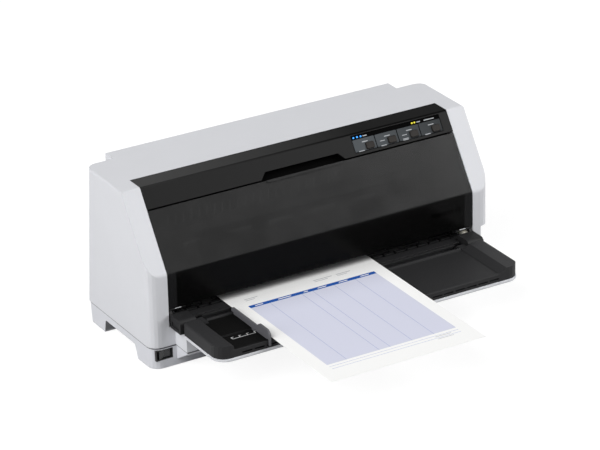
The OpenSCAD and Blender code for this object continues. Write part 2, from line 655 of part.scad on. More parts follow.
ruler_y = [tray_front + 22.5, tray_front + 39.5];
ruler_deep = 1.2;
guide_rail_y = ruler_y[1] - 3;
guide_rear = -24;
guide_front = tray_front - 2.6;
guide_low = floor_z + gap;
guide_tab_y = -84;
guide_hook_z = 57;
module edge_guide() color("#5a5a5f") placed() {
  // standing wall with the taller rounded tab at its front and the hook over the front rim
  prism_x(guide_x - 2.6, guide_x) outline([[guide_rear, rest_z + 0.7, 0.5], [guide_rear - 1, 71, 2],
    [guide_tab_y, 71, 3], [guide_tab_y - 6, 76, 5], [guide_front, 76, 7], [guide_front, guide_hook_z, 1],
    [tray_front - gap, guide_hook_z, 0], [tray_front - gap, floor_z + rim_up + gap, 0],
    [tray_front + 4, floor_z + rim_up + gap, 0], [tray_front + 4, guide_low, 0],
    [tray_rear - 4.4, guide_low, 0], [tray_rear - 4.4, rest_z + 0.7, 0]]);
  // foot plate under the sheet and its shoe in the groove
  block([guide_x - 2.6, tray_front + 4, guide_low], [guide_x + 26, guide_tab_y - 4, rest_z - gap]);
  block([guide_x - 2.6, guide_rail_y - 2.7, floor_z - 2.1],
        [guide_x + 10, guide_rail_y + 2.7, guide_low + 0.4]);
}

module paper_sheet() color("#f4f4f2") placed()
  block([sheet_left, plan_front, path_z], [sheet_left + sheet_w, sheet_fed, path_z + sheet_t]);

// ---- frame and paper path ----

frame_x = inner_x - 15;
frame_t = 2;
frame_foot_z = 9;
frame_posts = [40, 150];
board_z = 34;
path_guide_z = path_z - 0.7;
rear_y = feed_front_y + feed_gap;
feed_z = rest_z - feed_r;
pinch_z = path_z + sheet_t + gap + pinch_r;
module_size = 1;
function pitch_r(teeth) = teeth * module_size / 2;
mesh_gap = pitch_r(feed_teeth) + pitch_r(idler_teeth) + 0.1;
knob_z = feed_z - sqrt(max(mesh_gap * mesh_gap - feed_gap * feed_gap / 4, 0));
pinion_gap = pitch_r(idler_teeth) + pitch_r(pinion_teeth) + 0.1;
motor_r = 21;
motor_z = 26;
motor_y = knob_y + sqrt(pinion_gap * pinion_gap - pow(knob_z - motor_z, 2));

// Side frame as pressed steel: plate, foot flange and bores for every shaft
module side_frame() difference() {
  union() {
    prism_x(frame_x, frame_x + frame_t) outline([[14, frame_foot_z, 2], [14, 88, 4], [30, 124, 6],
      [60, 128, 10], [76, 138, 8], [112, 138, 8], [158, 96, 10], [158, frame_foot_z, 2]]);
    for (y = frame_posts)
      block([frame_x - 14, y - 9, frame_foot_z], [frame_x + frame_t, y + 8, frame_foot_z + frame_t]);
    // ledge that the ribbon cartridge rests on
    block([frame_x - 7, 18, cartridge_z - frame_t], [frame_x + frame_t / 2, 40, cartridge_z]);
  }
  for (y = [feed_front_y, rear_y]) {
    bar_x(frame_x - over, frame_x + frame_t + over, y, feed_z, feed_shaft_r + run);
    bar_x(frame_x - over, frame_x + frame_t + over, y, pinch_z, 2.5 + run);
  }
  bar_x(frame_x - over, frame_x + frame_t + over, carriage_y, carriage_z, carriage_shaft_r + 0.02);
  // lightening window
  prism_x(frame_x - over, frame_x + frame_t + over)
    outline([[124, 50, 4], [124, 100, 4], [146, 84, 4], [146, 50, 4]]);
}

module left_side_frame() color("#a9adb2") placed() mirror([1, 0, 0]) side_frame();
module right_side_frame() color("#a9adb2") placed() difference() {
  side_frame();
  bar_x(frame_x - over, frame_x + frame_t + over, knob_y, knob_z, knob_shaft_r + run);
  bar_x(frame_x - over, frame_x + frame_t + over, motor_y, motor_z, 8);
}

roller_len = 14;
roller_pitch = 44;
roller_x = [for (i = [0:roller_count - 1]) (i - (roller_count - 1) / 2) * roller_pitch];
guide_half = frame_x;
guide_back = 160;
platen_half = frame_x - 14;
front_half = lug_x[0] - 2;  // half width of the guide plate between the tray's lugs
well_y = [4.2, 18];         // the dark slot behind the plate's front band
comb_pitch = 16.3;
comb_half = 11;             // comb tabs on either side of the middle one
comb_rail_y = [7, 13.5];
comb_rail_z = [path_guide_z - 6, path_guide_z - 3.5];
module lower_paper_guide() color("#1d1d1e") placed() difference() {
  union() {
    difference() {
      union() {
        block([-guide_half, -0.7, path_guide_z - 2.5], [guide_half, guide_back, path_guide_z]);
        block([-knuckle_x[1] + 1.5, -10.5, path_guide_z - 2.5], [knuckle_x[1] - 1.5, 0, path_guide_z]);
        block([-front_half, -15, path_guide_z - 2.5], [front_half, 0, path_guide_z]);
      }
      // groove along the front band, and the slot behind it
      block([-front_half - over, -10.6, path_guide_z - 1.6], [front_half + over, -8.8, path_z]);
      block([-slot_half, well_y[0], path_guide_z - 4], [slot_half, well_y[1], path_z]);
    }
    // comb of tabs in the slot, on a rail below it
    block([-slot_half - 2, comb_rail_y[0], comb_rail_z[0]], [slot_half + 2, comb_rail_y[1], comb_rail_z[1]]);
    both_sides() block([slot_half - 2, comb_rail_y[0], comb_rail_z[0]],
                       [slot_half + 2, comb_rail_y[1], path_guide_z - 1]);
    for (i = [-comb_half:comb_half])
      block([i * comb_pitch - 6.65, 8, comb_rail_z[0] + 1], [i * comb_pitch + 6.65, 12.5, path_guide_z]);
    // front apron down to the nose, and ribs along the sheet's way
    block([-front_half + 2, -12, nose_top], [front_half - 2, -9.5, path_guide_z - 2]);
    for (x = [-168:24:168]) block([x - 0.8, 30, path_guide_z], [x + 0.8, print_y - 8, path_z]);
    for (x = [-168:24:168]) block([x - 0.8, print_y + 8, path_guide_z], [x + 0.8, rear_y - 8, path_z]);
  }
  // roller windows and the platen's seat
  for (x = roller_x, y = [feed_front_y, rear_y])
    block([x - roller_len / 2 - 1, y - feed_r - 1, path_guide_z - 4],
          [x + roller_len / 2 + 1, y + feed_r + 1, path_z]);
  for (y = [feed_front_y, rear_y]) bar_x(-frame_x, frame_x, y, feed_z, feed_shaft_r + 0.6);
  block([-platen_half, print_y - 5.2, path_guide_z - 4], [platen_half, print_y + 5.2, path_z + over]);
}

module platen_bar() color("#3a3a3c") placed() prism_x(-platen_half, platen_half)
  outline([[print_y - 5, path_guide_z - 10, 0], [print_y - 5, path_z - 0.6, 0.6],
    [print_y - 3, path_z, 0.4], [print_y + 3, path_z, 0.4], [print_y + 5, path_z - 0.6, 0.6],
    [print_y + 5, path_guide_z - 10, 0]]);

// Beam over the front pinch rollers, with a comb of ribs behind the cover's lower edge
rib_low = cover_low - 5.8;
holder_z = [77.2, 79.4];
module pinch_holder() color("#2b2b2d") placed() {
  block([-guide_half, feed_front_y - 6, holder_z[0]], [guide_half, feed_front_y + 6, holder_z[1]]);
  for (i = [-comb_half:comb_half]) prism_x(i * comb_pitch - 3.5, i * comb_pitch + 3.5)
    outline([[feed_front_y - 9.4, rib_low, 0.8], [feed_front_y - 9.4, holder_z[0], 2],
      [feed_front_y - 5, holder_z[1], 0], [feed_front_y - 5, holder_z[0], 0],
      [feed_front_y - 6.2, holder_z[0] - 1.2, 0], [feed_front_y - 6.2, rib_low + 1.2, 0.8]]);
}

module feed_roller(y) {
  bar_x(-frame_x - 4, frame_x + 13, y, feed_z, feed_shaft_r);
  for (x = roller_x) bar_x(x - roller_len / 2, x + roller_len / 2, y, feed_z, feed_r);
}
module pinch_roller(y) {
  bar_x(-frame_x - frame_t - 0.5, frame_x + frame_t + 0.5, y, pinch_z, 2.5);
  for (x = roller_x) bar_x(x - roller_len / 2 + 1, x + roller_len / 2 - 1, y, pinch_z, pinch_r);
}
module front_feed_roller() color("#2a2a2a") placed() feed_roller(feed_front_y);
module rear_feed_roller() color("#2a2a2a") placed() feed_roller(rear_y);
module front_pinch_roller() color("#55585c") placed() pinch_roller(feed_front_y);
module rear_pinch_roller() color("#55585c") placed() pinch_roller(rear_y);

// ---- gears ----

// Involute tooth flank: half angle of the tooth at radius r
function half_tooth(teeth, r) =
  let (p = pitch_r(teeth), base = p * cos(20), at = acos(min(base / r, 1)), at_p = 20)
  90 / teeth - 0.1 / p * 57.3 + (tan(at_p) * 57.2958 - at_p) - (tan(at) * 57.2958 - at);
function tooth(teeth, turn) =
  let (p = pitch_r(teeth), root = p - 1.25 * module_size, tip = p + module_size,
       low = max(root + 0.05, p * cos(20)), radii = [low, (low + p) / 2, p, (p + tip) / 2, tip])
  concat([root * [cos(turn - half_tooth(teeth, low) - 0.8), sin(turn - half_tooth(teeth, low) - 0.8)]],
    [for (r = radii) r * [cos(turn - half_tooth(teeth, r)), sin(turn - half_tooth(teeth, r))]],
    [for (i = [4:-1:0]) let (r = radii[i])
      r * [cos(turn + half_tooth(teeth, r)), sin(turn + half_tooth(teeth, r))]],
    [root * [cos(turn + half_tooth(teeth, low) + 0.8), sin(turn + half_tooth(teeth, low) + 0.8)]]);

// A gear on an axis along X, with one tooth centred at the angle turn from +Y towards +Z
module gear(teeth, turn, x0, x1, y, z) translate([0, y, z]) prism_x(x0, x1)
  polygon([for (i = [0:teeth - 1]) each tooth(teeth, turn + i * 360 / teeth)]);

// Angle of a tooth on the second gear, so that it meshes with the first
function meshed(turn, teeth_a, teeth_b, way) = way + 180 + (way - turn) * teeth_a / teeth_b + 180 / teeth_b;
way_front = atan2(feed_z - knob_z, feed_front_y - knob_y);
way_rear = atan2(feed_z - knob_z, rear_y - knob_y);
way_pinion = atan2(motor_z - knob_z, motor_y - knob_y);

gear_x = [frame_x + frame_t + 1.2, frame_x + frame_t + 7.2];
module feed_gear(y, way) difference() {
  union() {
    gear(feed_teeth, meshed(0, idler_teeth, feed_teeth, way), gear_x[0], gear_x[1], y, feed_z);
    bar_x(gear_x[0] - 0.8, gear_x[1] + 2, y, feed_z, 6);
  }
  bar_x(gear_x[0] - over - 1, gear_x[1] + 3, y, feed_z, feed_shaft_r);
  for (a = [0:60:300]) translate([0, y, feed_z]) rotate([a, 0, 0])
    bar_x(gear_x[0] - over, gear_x[1] + over, 11.5, 0, 3);
}
module front_feed_gear() color("#e8e4d8") placed() feed_gear(feed_front_y, way_front);
module rear_feed_gear() color("#e8e4d8") placed() feed_gear(rear_y, way_rear);

module idler_gear() color("#e8e4d8") placed() difference() {
  union() {
    gear(idler_teeth, 0, gear_x[0], gear_x[1], knob_y, knob_z);
    bar_x(gear_x[0] - 0.8, gear_x[1] + 2, knob_y, knob_z, 7);
  }
  bar_x(gear_x[0] - over - 1, gear_x[1] + 3, knob_y, knob_z, knob_shaft_r);
  for (a = [0:60:300]) translate([0, knob_y, knob_z]) rotate([a, 0, 0])
    bar_x(gear_x[0] - over, gear_x[1] + over, 14, 0, 4);
}

// Pinion with the motor's shaft that it is pressed on
module motor_pinion() color("#c8a860") placed() {
  gear(pinion_teeth, meshed(0, idler_teeth, pinion_teeth, way_pinion), gear_x[0], gear_x[1] + 0.6,
       motor_y, motor_z);
  bar_x(frame_x - 10, gear_x[1] + 2, motor_y, motor_z, 2);
}

// Knob on the idler's shaft, with grip flutes
knob_face = half_w - 1;
flute_count = 24;
knob_shaft_r = 3;
module feed_knob() color("#3a3b3e") placed() {
  difference() {
    union() {
      bar_x(half_w - recess_in + 0.8, knob_face - 1.2, knob_y, knob_z, knob_r);
      translate([knob_face - 1.2, knob_y, knob_z]) rotate([0, 90, 0])
        cylinder(h = 1.2, r1 = knob_r, r2 = knob_r - 1.2);
    }
    for (i = [0:flute_count - 1]) translate([0, knob_y, knob_z]) rotate([i * 360 / flute_count, 0, 0])
      bar_x(half_w - recess_in, knob_face + over, knob_r + 0.4, 0, 1.1);
  }
  bar_x(frame_x - 3, half_w - recess_in + 1, knob_y, knob_z, knob_shaft_r);
}

module feed_motor() color("#8f9296") placed() difference() {
  union() {
    bar_x(frame_x - 28, frame_x, motor_y, motor_z, motor_r);
    bar_x(frame_x - over, frame_x + frame_t, motor_y, motor_z, 7.6);
    block([frame_x - 1.4, motor_y - 27, motor_z - 6], [frame_x, motor_y + 27, motor_z + 6]);
  }
  bar_x(frame_x - 11, frame_x + frame_t + over, motor_y, motor_z, 2 + run);
}

// ---- carriage and head ----

module carriage_shaft() color("#c4c7cb") placed()
  bar_x(-frame_x - frame_t - 1, frame_x + frame_t + 1, carriage_y, carriage_z, carriage_shaft_r);

beam_y = 103;
beam_t = 2;
beam_low = 84;
rail_z = 128;
belt_z = 105;
belt_t = 1.4;
belt_y = [96, 102];
pulley_shaft_r = 2.5;
drive_x = -frame_x + 32;
return_x = frame_x - 24;
module rear_beam() color("#9fa3a8") placed() difference() {
  union() {
    block([-guide_half, beam_y, beam_low], [guide_half, beam_y + beam_t, rail_z + beam_t]);
    block([-guide_half, 91, rail_z], [guide_half, beam_y + beam_t, rail_z + beam_t]);
    bar_y(belt_y[0] - 1.6, beam_y, return_x, belt_z, pulley_shaft_r);
  }
  bar_y(beam_y - over, beam_y + beam_t + over, drive_x, belt_z, 9);
  for (x = [-120:60:120]) block([x - 18, beam_y - over, 92], [x + 18, beam_y + 2 * beam_t, 104]);
}

belt_low = belt_z - belt_r - belt_t;
shelf_z = 90;
module carriage() color("#232325") placed() translate([carriage_x, 0, 0]) difference() {
  union() {
    // bushing block round the shaft, and the shelf that the head sits on
    prism_x(-28, 28) outline([[carriage_y - 10, carriage_z - 11, 2], [carriage_y - 10, 106, 2],
      [carriage_y + 4, 110, 3], [carriage_y + 10, 104, 2], [carriage_y + 10, carriage_z - 11, 2]]);
    block([-25, print_y - 15, 84], [25, carriage_y - 8, shelf_z]);
    // arm up to the rear rail
    block([-9, carriage_y - 2, 104], [9, carriage_y + 5, rail_z + 7]);
    block([-9, carriage_y - 2, rail_z + beam_t + gap], [9, 99, rail_z + 7]);
    block([-9, carriage_y - 2, rail_z - 5], [9, 99, rail_z - gap]);
    // belt clamp
    block([-16, carriage_y + 8, belt_low - 5], [16, 102.4, belt_low + belt_t + 4]);
  }
  bar_x(-28 - over, 28 + over, carriage_y, carriage_z, carriage_shaft_r + run);
  block([-21.2, print_y - 11, 80], [21.2, carriage_y - 9, 95]);
  block([-17, belt_y[0] - gap, belt_low - gap], [17, 103, belt_low + belt_t + gap]);
}

// Print head: nose with the wire guide, body and cooling fins
head_low = path_z + sheet_t + 2.4;
fin_count = 7;
module print_head() color("#b4b7bb") placed() translate([carriage_x, 0, 0]) {
  prism_x(-4, 4)
    outline([[print_y - 5, head_low, 1], [print_y - 8, 86, 0], [print_y + 8, 86, 0], [print_y + 5, head_low, 1]]);
  block([-21, print_y - 10.8, 86], [21, print_y + 10.8, shelf_z + over]);
  block([-23, print_y - 13, shelf_z], [23, print_y + 11.8, 96]);
  bar_z(96, 118, 0, print_y - 0.6, 12);
  for (i = [0:fin_count - 1]) translate([0, print_y - 0.6, 97.5 + i * 3.2]) linear_extrude(1.4)
    round_rect(44, 24, 4);
  bar_z(118, 121, 0, print_y - 0.6, 9);
}

// Mask that keeps the ribbon off the sheet, clipped to the head's shelf
module ribbon_mask() color("#3f6fae") placed() translate([carriage_x, 0, 0]) difference() {
  union() {
    block([-16, print_y - 10, path_z + sheet_t + gap], [16, print_y + 10, path_z + sheet_t + gap + 0.6]);
    for (sx = [-1, 1])
      block([sx * 14 - 1, print_y - 10, path_z + sheet_t + gap], [sx * 14 + 1, print_y - 8, 86]);
    for (sx = [-1, 1])
      block([sx * 14 - 1, print_y + 8, path_z + sheet_t + gap], [sx * 14 + 1, print_y + 10, 86]);
  }
  block([-2.5, print_y - 5, path_z], [2.5, print_y + 5, path_z + 3]);
}

// ---- ribbon ----

cartridge_z = 82;
cartridge_half = frame_x - 8;
arm_x = [cartridge_half - 18, cartridge_half];
ribbon_z = path_z + sheet_t + 1.4;
module ribbon_cartridge() color("#1b1b1c") placed() difference() {
  union() {
    prism_x(-cartridge_half, cartridge_half) outline([[10, cartridge_z, 1.5], [10, 100, 3],
      [14, 104, 2], [42, 104, 2], [44, 100, 1.5], [44, cartridge_z, 1.5]]);
    // arms that carry the ribbon back to the print line
    both_sides() prism_x(arm_x[0], arm_x[1]) outline([[40, cartridge_z + 2, 0], [40, 98, 0], [60, 98, 4],
      [72, 88, 4], [72, ribbon_z - 0.4, 1], [54, ribbon_z - 0.4, 1], [54, cartridge_z + 2, 3]]);
    // end lugs on the frame's ledges
    both_sides() block([cartridge_half - 1, 20, cartridge_z], [frame_x - 0.5, 38, cartridge_z + 4]);
    // raised lid panel
    translate([30, 27, 104]) linear_extrude(1.2) round_rect(270, 24, 3);
  }
  both_sides() block([arm_x[0] - over, 55.5, ribbon_z], [arm_x[0] + 6, 68.5, ribbon_z + 0.5]);
  bar_z(98, 110, ribbon_knob_x, 27, 3 + run);
  for (x = [-60:30:150]) block([x - 10, 9, 88], [x + 10, 10.8, 98]);
}

ribbon_knob_x = -cartridge_half + 42;
module ribbon_knob() color("#2e2f31") placed() difference() {
  union() {
    bar_z(98.4, 105, ribbon_knob_x, 27, 3);
    bar_z(104.4, 111, ribbon_knob_x, 27, 10);
    bar_z(111, 114, ribbon_knob_x, 27, 4);
  }
  for (i = [0:15]) translate([ribbon_knob_x, 27, 104]) rotate([0, 0, i * 22.5]) translate([10.4, 0, 0])
    cylinder(h = 8, r = 1.2, $fn = 16);
}

module ribbon_band() color("#0d0d12") placed()
  block([-arm_x[0] - 5.6, 56, ribbon_z], [arm_x[0] + 5.6, 68, ribbon_z + 0.3]);

// ---- carriage drive ----

module carriage_motor() color("#8f9296") placed() difference() {
  union() {
    bar_y(beam_y + beam_t, beam_y + beam_t + 34, drive_x, belt_z, motor_r);
    bar_y(beam_y - 0.4, beam_y + beam_t, drive_x, belt_z, 8.6);
  }
  bar_y(beam_y - over, beam_y + 12, drive_x, belt_z, pulley_shaft_r + run);
}
module pulley(x) difference() {
  union() {
    bar_y(belt_y[0] - 0.2, belt_y[1] + 0.2, x, belt_z, belt_r - run);
    bar_y(belt_y[0] - 1, belt_y[0] - 0.2, x, belt_z, belt_r + 1.6);
  }
  for (i = [0:15]) translate([x, 0, belt_z]) rotate([0, i * 22.5, 0])
    bar_y(belt_y[0] - 0.2, belt_y[1] + over, belt_r - gap, 0, 0.5);
}
// Driven pulley with the motor's shaft, and the return pulley that turns on the beam's stud
module drive_pulley() color("#c8a860") placed() {
  pulley(drive_x);
  bar_y(belt_y[0] - 1.6, beam_y + 11, drive_x, belt_z, pulley_shaft_r);
}
module idler_pulley() color("#3b3b3d") placed() difference() {
  pulley(return_x);
  bar_y(belt_y[0] - 2, belt_y[1] + 2, return_x, belt_z, pulley_shaft_r + run);
}

module belt_loop(r) {
  translate([drive_x, belt_z]) circle(r);
  translate([return_x, belt_z]) circle(r);
  translate([drive_x, belt_z - r]) square([return_x - drive_x, 2 * r]);
}
module timing_belt() color("#191919") placed() prism_y(belt_y[0], belt_y[1]) difference() {
  belt_loop(belt_r + belt_t);
  belt_loop(belt_r);
}

// Lever on the carriage shaft's eccentric, for the thickness of the form
module gap_lever() color("#3f6fae") placed() translate([-frame_x + 0.4, carriage_y, carriage_z])
  difference() {
  union() {
    bar_x(0, 2.4, 0, 0, 11);
    prism_x(0, 2.4) outline([[-9, 4, 0], [-24, 52, 3], [-17, 54, 3], [4, 9, 0]]);
    prism_x(0, 7) outline([[-25, 50, 2], [-27, 62, 3], [-19, 64, 3], [-16, 52, 2]]);
  }
  bar_x(-over, 10, 0, 0, carriage_shaft_r + run);
}

// ---- electrics ----

main_board_x = [-frame_x + 12, -14];
power_board_x = [20, 134];
board_y = [70, 149];
power_top = feed_z - feed_r - 1;   // the tall components end below the rear feed rollers
board_posts = [
  for (x = [main_board_x[0] + 8, main_board_x[1] - 8, power_board_x[0] + 8, power_board_x[1] - 8],
  y = [board_y[0] + 6, board_y[1] - 6]) [x, y]];

module main_board() color("#2f6b45") placed() {
  block([main_board_x[0], board_y[0], board_z], [main_board_x[1], board_y[1], board_z + 1.6]);
  for (c = [[-150, 100, 24, 24, 2.4], [-100, 102, 14, 20, 2], [-60, 94, 20, 10, 3], [-60, 118, 10, 10, 8],
            [-168, 132, 12, 12, 9], [-30, 90, 12, 24, 6]])
    translate([c[0], c[1], board_z + 1.6]) linear_extrude(c[4]) square([c[2], c[3]], center = true);
}
module power_board() color("#8a6a3a") placed() {
  block([power_board_x[0], board_y[0], board_z], [power_board_x[1], board_y[1], board_z + 1.6]);
  translate([60, 106, board_z + 1.6]) linear_extrude(power_top - board_z - 1.6)
    square([40, 34], center = true);
  for (x = [96, 116]) bar_z(board_z + 1.6, power_top, x, 100, 8);
  block([36, 132, board_z + 1.6], [84, 135, board_z + 22]);
}
module power_inlet() color("#151515") placed() difference() {
  union() {
    block([inlet_x - inlet_half.x + 0.2, port_y - 14, port_mid - inlet_half.y + 0.2],
          [inlet_x + inlet_half.x - 0.2, port_y + 0.1, port_mid + inlet_half.y - 0.2]);
    block([inlet_x - inlet_half.x - 3, port_y, port_mid - inlet_half.y - 1.2],
          [inlet_x + inlet_half.x + 3, port_y + 2, port_mid + inlet_half.y + 1.2]);
  }
  prism_y(port_y - 12, port_y + 3) translate([inlet_x, port_mid])
    outline([[-12, -8.2, 1], [12, -8.2, 1], [12, 4.2, 0], [8, 8.2, 0], [-8, 8.2, 0], [-12, 4.2, 0]]);
}
module parallel_port() color("#b8bbc0") placed() difference() {
  union() {
    block([parallel_x - 26, port_y - 12, port_mid - 6.6], [parallel_x + 26, port_y + 6, port_mid + 6.6]);
    block([parallel_x - 28.8, port_y - 12, port_mid - 7.8],
          [parallel_x + 28.8, port_y - 0.4, port_mid + 7.8]);
    block([parallel_x - 31, port_y - 12, port_mid - 9.6], [parallel_x + 31, port_y - wall, port_mid + 9.6]);
  }
  block([parallel_x - 24.6, port_y - 2, port_mid - 5.2], [parallel_x + 24.6, port_y + 7, port_mid + 5.2]);
}
module usb_port() color("#c2c5c9") placed() difference() {
  union() {
    block([usb_x - 6.2, port_y - 14, port_mid - 6.2], [usb_x + 6.2, port_y + 0.6, port_mid + 6.2]);
    block([usb_x - 8, port_y - 14, port_mid - 7.6], [usb_x + 8, port_y - wall, port_mid + 7.6]);
  }
  prism_y(port_y - 10, port_y + 2) translate([usb_x, port_mid])
    outline([[-4.4, -4, 0.4], [4.4, -4, 0.4], [4.4, 2.2, 0], [2.6, 4, 0], [-2.6, 4, 0], [-4.4, 2.2, 0]]);
}

base_casing();
upper_casing();
connector_housing();
socket_plates();
rubber_feet();
case_screws();
control_strip();
label_plates();
button_1();
button_2();
button_3();
button_4();
blue_lamps();
yellow_lamps();
control_board();
front_cover();
cover_pins();
tray_brackets();
tray_pins();
sheet_tray();
tray_underplate();
edge_guide();
paper_sheet();
rocker_housing();
power_rocker();
left_side_frame();
right_side_frame();
lower_paper_guide();
pinch_holder();
platen_bar();
front_feed_roller();
rear_feed_roller();
front_pinch_roller();
rear_pinch_roller();
front_feed_gear();
rear_feed_gear();
idler_gear();
feed_knob();
motor_pinion();
feed_motor();
carriage_shaft();
rear_beam();
carriage();
print_head();
ribbon_mask();
ribbon_cartridge();
ribbon_knob();
ribbon_band();
carriage_motor();
drive_pulley();
idler_pulley();
timing_belt();
gap_lever();
main_board();
power_board();
power_inlet();
parallel_port();
usb_port();
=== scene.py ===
"""Looks of a flat-bed dot matrix printer: finishes, printed sheet, small marks and the studio."""

import math

import bmesh
import bpy
from mathutils import Matrix, Vector


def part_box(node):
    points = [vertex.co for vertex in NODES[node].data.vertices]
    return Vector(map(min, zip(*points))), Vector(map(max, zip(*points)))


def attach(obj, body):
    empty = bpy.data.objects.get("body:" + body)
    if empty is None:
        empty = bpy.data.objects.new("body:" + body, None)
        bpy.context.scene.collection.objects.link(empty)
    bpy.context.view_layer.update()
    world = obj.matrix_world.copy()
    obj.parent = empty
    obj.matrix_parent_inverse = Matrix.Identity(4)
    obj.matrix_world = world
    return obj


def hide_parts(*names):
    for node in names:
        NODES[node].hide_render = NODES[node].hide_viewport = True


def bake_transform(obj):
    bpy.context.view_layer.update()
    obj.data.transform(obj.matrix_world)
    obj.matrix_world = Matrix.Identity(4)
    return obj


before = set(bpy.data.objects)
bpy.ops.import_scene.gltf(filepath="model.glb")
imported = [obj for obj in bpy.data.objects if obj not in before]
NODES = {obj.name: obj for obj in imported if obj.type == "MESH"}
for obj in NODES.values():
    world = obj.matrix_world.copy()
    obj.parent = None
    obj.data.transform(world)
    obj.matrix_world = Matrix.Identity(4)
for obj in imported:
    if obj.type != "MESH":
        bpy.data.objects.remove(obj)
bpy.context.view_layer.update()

bl_info = {
    "name": "Dot Matrix Printer Looks",
    "version": (1, 0, 0),
    "blender": (4, 5, 0),
    "location": "View3D > Sidebar > Printer",
    "description": "Finishes a flat-bed dot matrix printer and lights it",
    "category": "Object",
}

MM = 0.001
BORDER_FRONT = 0.035        # how far the borders' front face lies behind the frame's origin


def linear(hex_colour):
    """Linear red, green and blue of an sRGB hex colour."""
    parts = [int(hex_colour[i:i + 2], 16) / 255 for i in (1, 3, 5)]
    return [p / 12.92 if p <= 0.04045 else ((p + 0.055) / 1.055) ** 2.4 for p in parts]


def shade(colour, by=1.0):
    """A colour made lighter or darker, with a full alpha for a shader's socket."""
    return [min(1.0, c * by) for c in colour[:3]] + [1.0]


def opaque(hex_colour):
    """A hex colour as a shader's socket takes it."""
    return shade(linear(hex_colour))


# ---- settings that a user would change ----

def colour_property(name, description, hex_colour):
    return bpy.props.FloatVectorProperty(name=name, description=description, subtype="COLOR",
                                         size=3, min=0.0, max=1.0, default=linear(hex_colour))


def length_property(name, description, millimetres):
    return bpy.props.FloatProperty(name=name, description=description, subtype="DISTANCE",
                                   unit="LENGTH", min=0.0, default=millimetres * MM)


class CasingLook(bpy.types.PropertyGroup):
    shell: colour_property("Shell", "Colour of the moulded casing", "#d1d2d6")
    base: colour_property("Base", "Colour of the lower casing", "#cfd0d5")
    edge: length_property("Edge", "Radius that the mould leaves on each edge", 0.9)
    grain: length_property("Grain", "Size of the spark-eroded grain", 0.9)


class DarkLook(bpy.types.PropertyGroup):
    strip: colour_property("Strip", "Colour of the control strip", "#191919")
    cover: colour_property("Cover", "Tint of the smoked cover over the slope", "#262626")
    tray: colour_property("Tray", "Colour of the sheet tray", "#1c1c1d")
    guide: colour_property("Guide", "Colour of the edge guide", "#58585c")
    label: colour_property("Label", "Colour of the label plates", "#43474a")


class SheetLook(bpy.types.PropertyGroup):
    paper: colour_property("Paper", "Colour of the paper", "#f8f8f7")
    heading: colour_property("Heading", "Ink of the heading band", "#1553a8")
    table: colour_property("Table", "Tint of the table", "#d4d6e6")
    rule: colour_property("Rule", "Ink of the column rules", "#a9b1d2")
    note: colour_property("Note", "Ink of the small marks", "#b9bbc0")


class StageLook(bpy.types.PropertyGroup):
    light: bpy.props.FloatProperty(name="Light", description="Factor on the power of every softbox",
                                   default=1.0, min=0.0)
    floor: colour_property("Floor", "Tone of the floor in the light that it throws back", "#cccccc")


# ---- shader helpers ----

NOISE_SPAN = (0.3, 0.7)     # a noise pattern's values lie almost all between these
CLOUD = 45 * MM             # size of the faint clouds of colour in a moulding
SHAFT_RINGS = (1.0, 0.15, 0.15)     # draws a noise out round a shaft that lies along X
PLASTIC_IOR = 1.53          # of ABS; nylon, acetal, rubber and ink lie close to it
UNLIT = "#0b0b0b"           # black of places that take no light
WHITE = "#ffffff"


def add(tree, kind, inputs=None, **settings):
    """Adds one node; settings are its properties, inputs its values or the sockets that feed it."""
    made = tree.nodes.new("ShaderNode" + kind)
    for name, value in settings.items():
        setattr(made, name, value)
    for key, value in (inputs or {}).items():
        if isinstance(value, bpy.types.NodeSocket):
            tree.links.new(value, made.inputs[key])
        else:
            made.inputs[key].default_value = value
    return made


def begin(name):
    """An empty material, its node tree and its output."""
    material = bpy.data.materials.new(name)
    material.use_nodes = True
    tree = material.node_tree
    tree.nodes.clear()
    return material, tree, add(tree, "OutputMaterial")


def position(tree):
    """X, Y and Z on the piece in metres, by name; they stay with it as it moves."""
    return add(tree, "SeparateXYZ", {"Vector": add(tree, "TexCoord").outputs["Object"]}).outputs


def facing(tree):
    """X, Y and Z of the direction that a face looks in, by name."""
    return add(tree, "SeparateXYZ", {"Vector": add(tree, "NewGeometry").outputs["Normal"]}).outputs


def overlap(tree, first, *others):
    """1 where every zone is 1: their product."""
    for other in others:
        first = add(tree, "Math", {0: first, 1: other}, operation="MULTIPLY").outputs["Value"]
    return first


def zone(tree, value, low=None, high=None, fade=0.2 * MM):
    """1 where a value lies between two limits, or past the one given, fading to 0 inside each."""
    edges = []
    if low is not None:
        edges.append((low, low + fade, 0.0, 1.0))
    if high is not None:
        edges.append((high - fade, high, 1.0, 0.0))
    return overlap(tree, *(
        add(tree, "MapRange", {"Value": value, "From Min": start, "From Max": end,
                               "To Min": before, "To Max": after}).outputs["Result"]
        for start, end, before, after in edges))


def layered(tree, ground, *coats):
    """A ground, colour or number, with a coat over each zone; coats are (zone, coat) pairs."""
    for where, coat in coats:
        ground = add(tree, "Mix", {"Factor": where, "A": ground, "B": coat},
                     data_type="FLOAT" if isinstance(coat, float) else "RGBA").outputs["Result"]
    return ground


def speckle(tree, size, detail=2.0, stretch=None):
    """Noise whose lumps measure size metres, drawn out along an axis by stretch."""
    spot = add(tree, "TexCoord").outputs["Object"]
    if stretch:
        spot = add(tree, "Mapping", {"Vector": spot, "Scale": stretch}).outputs["Vector"]
    return add(tree, "TexNoise", {"Vector": spot, "Scale": 1 / size,
                                  "Detail": detail}).outputs["Fac"]


def two_tone(tree, pattern, low, high):
    """Two colours that change with a noise pattern."""
    ramp = add(tree, "ValToRGB", {"Fac": pattern})
    for stop, spot, colour in zip(ramp.color_ramp.elements, NOISE_SPAN, (low, high)):
        stop.position = spot
        stop.color = colour
    return ramp.outputs["Color"]


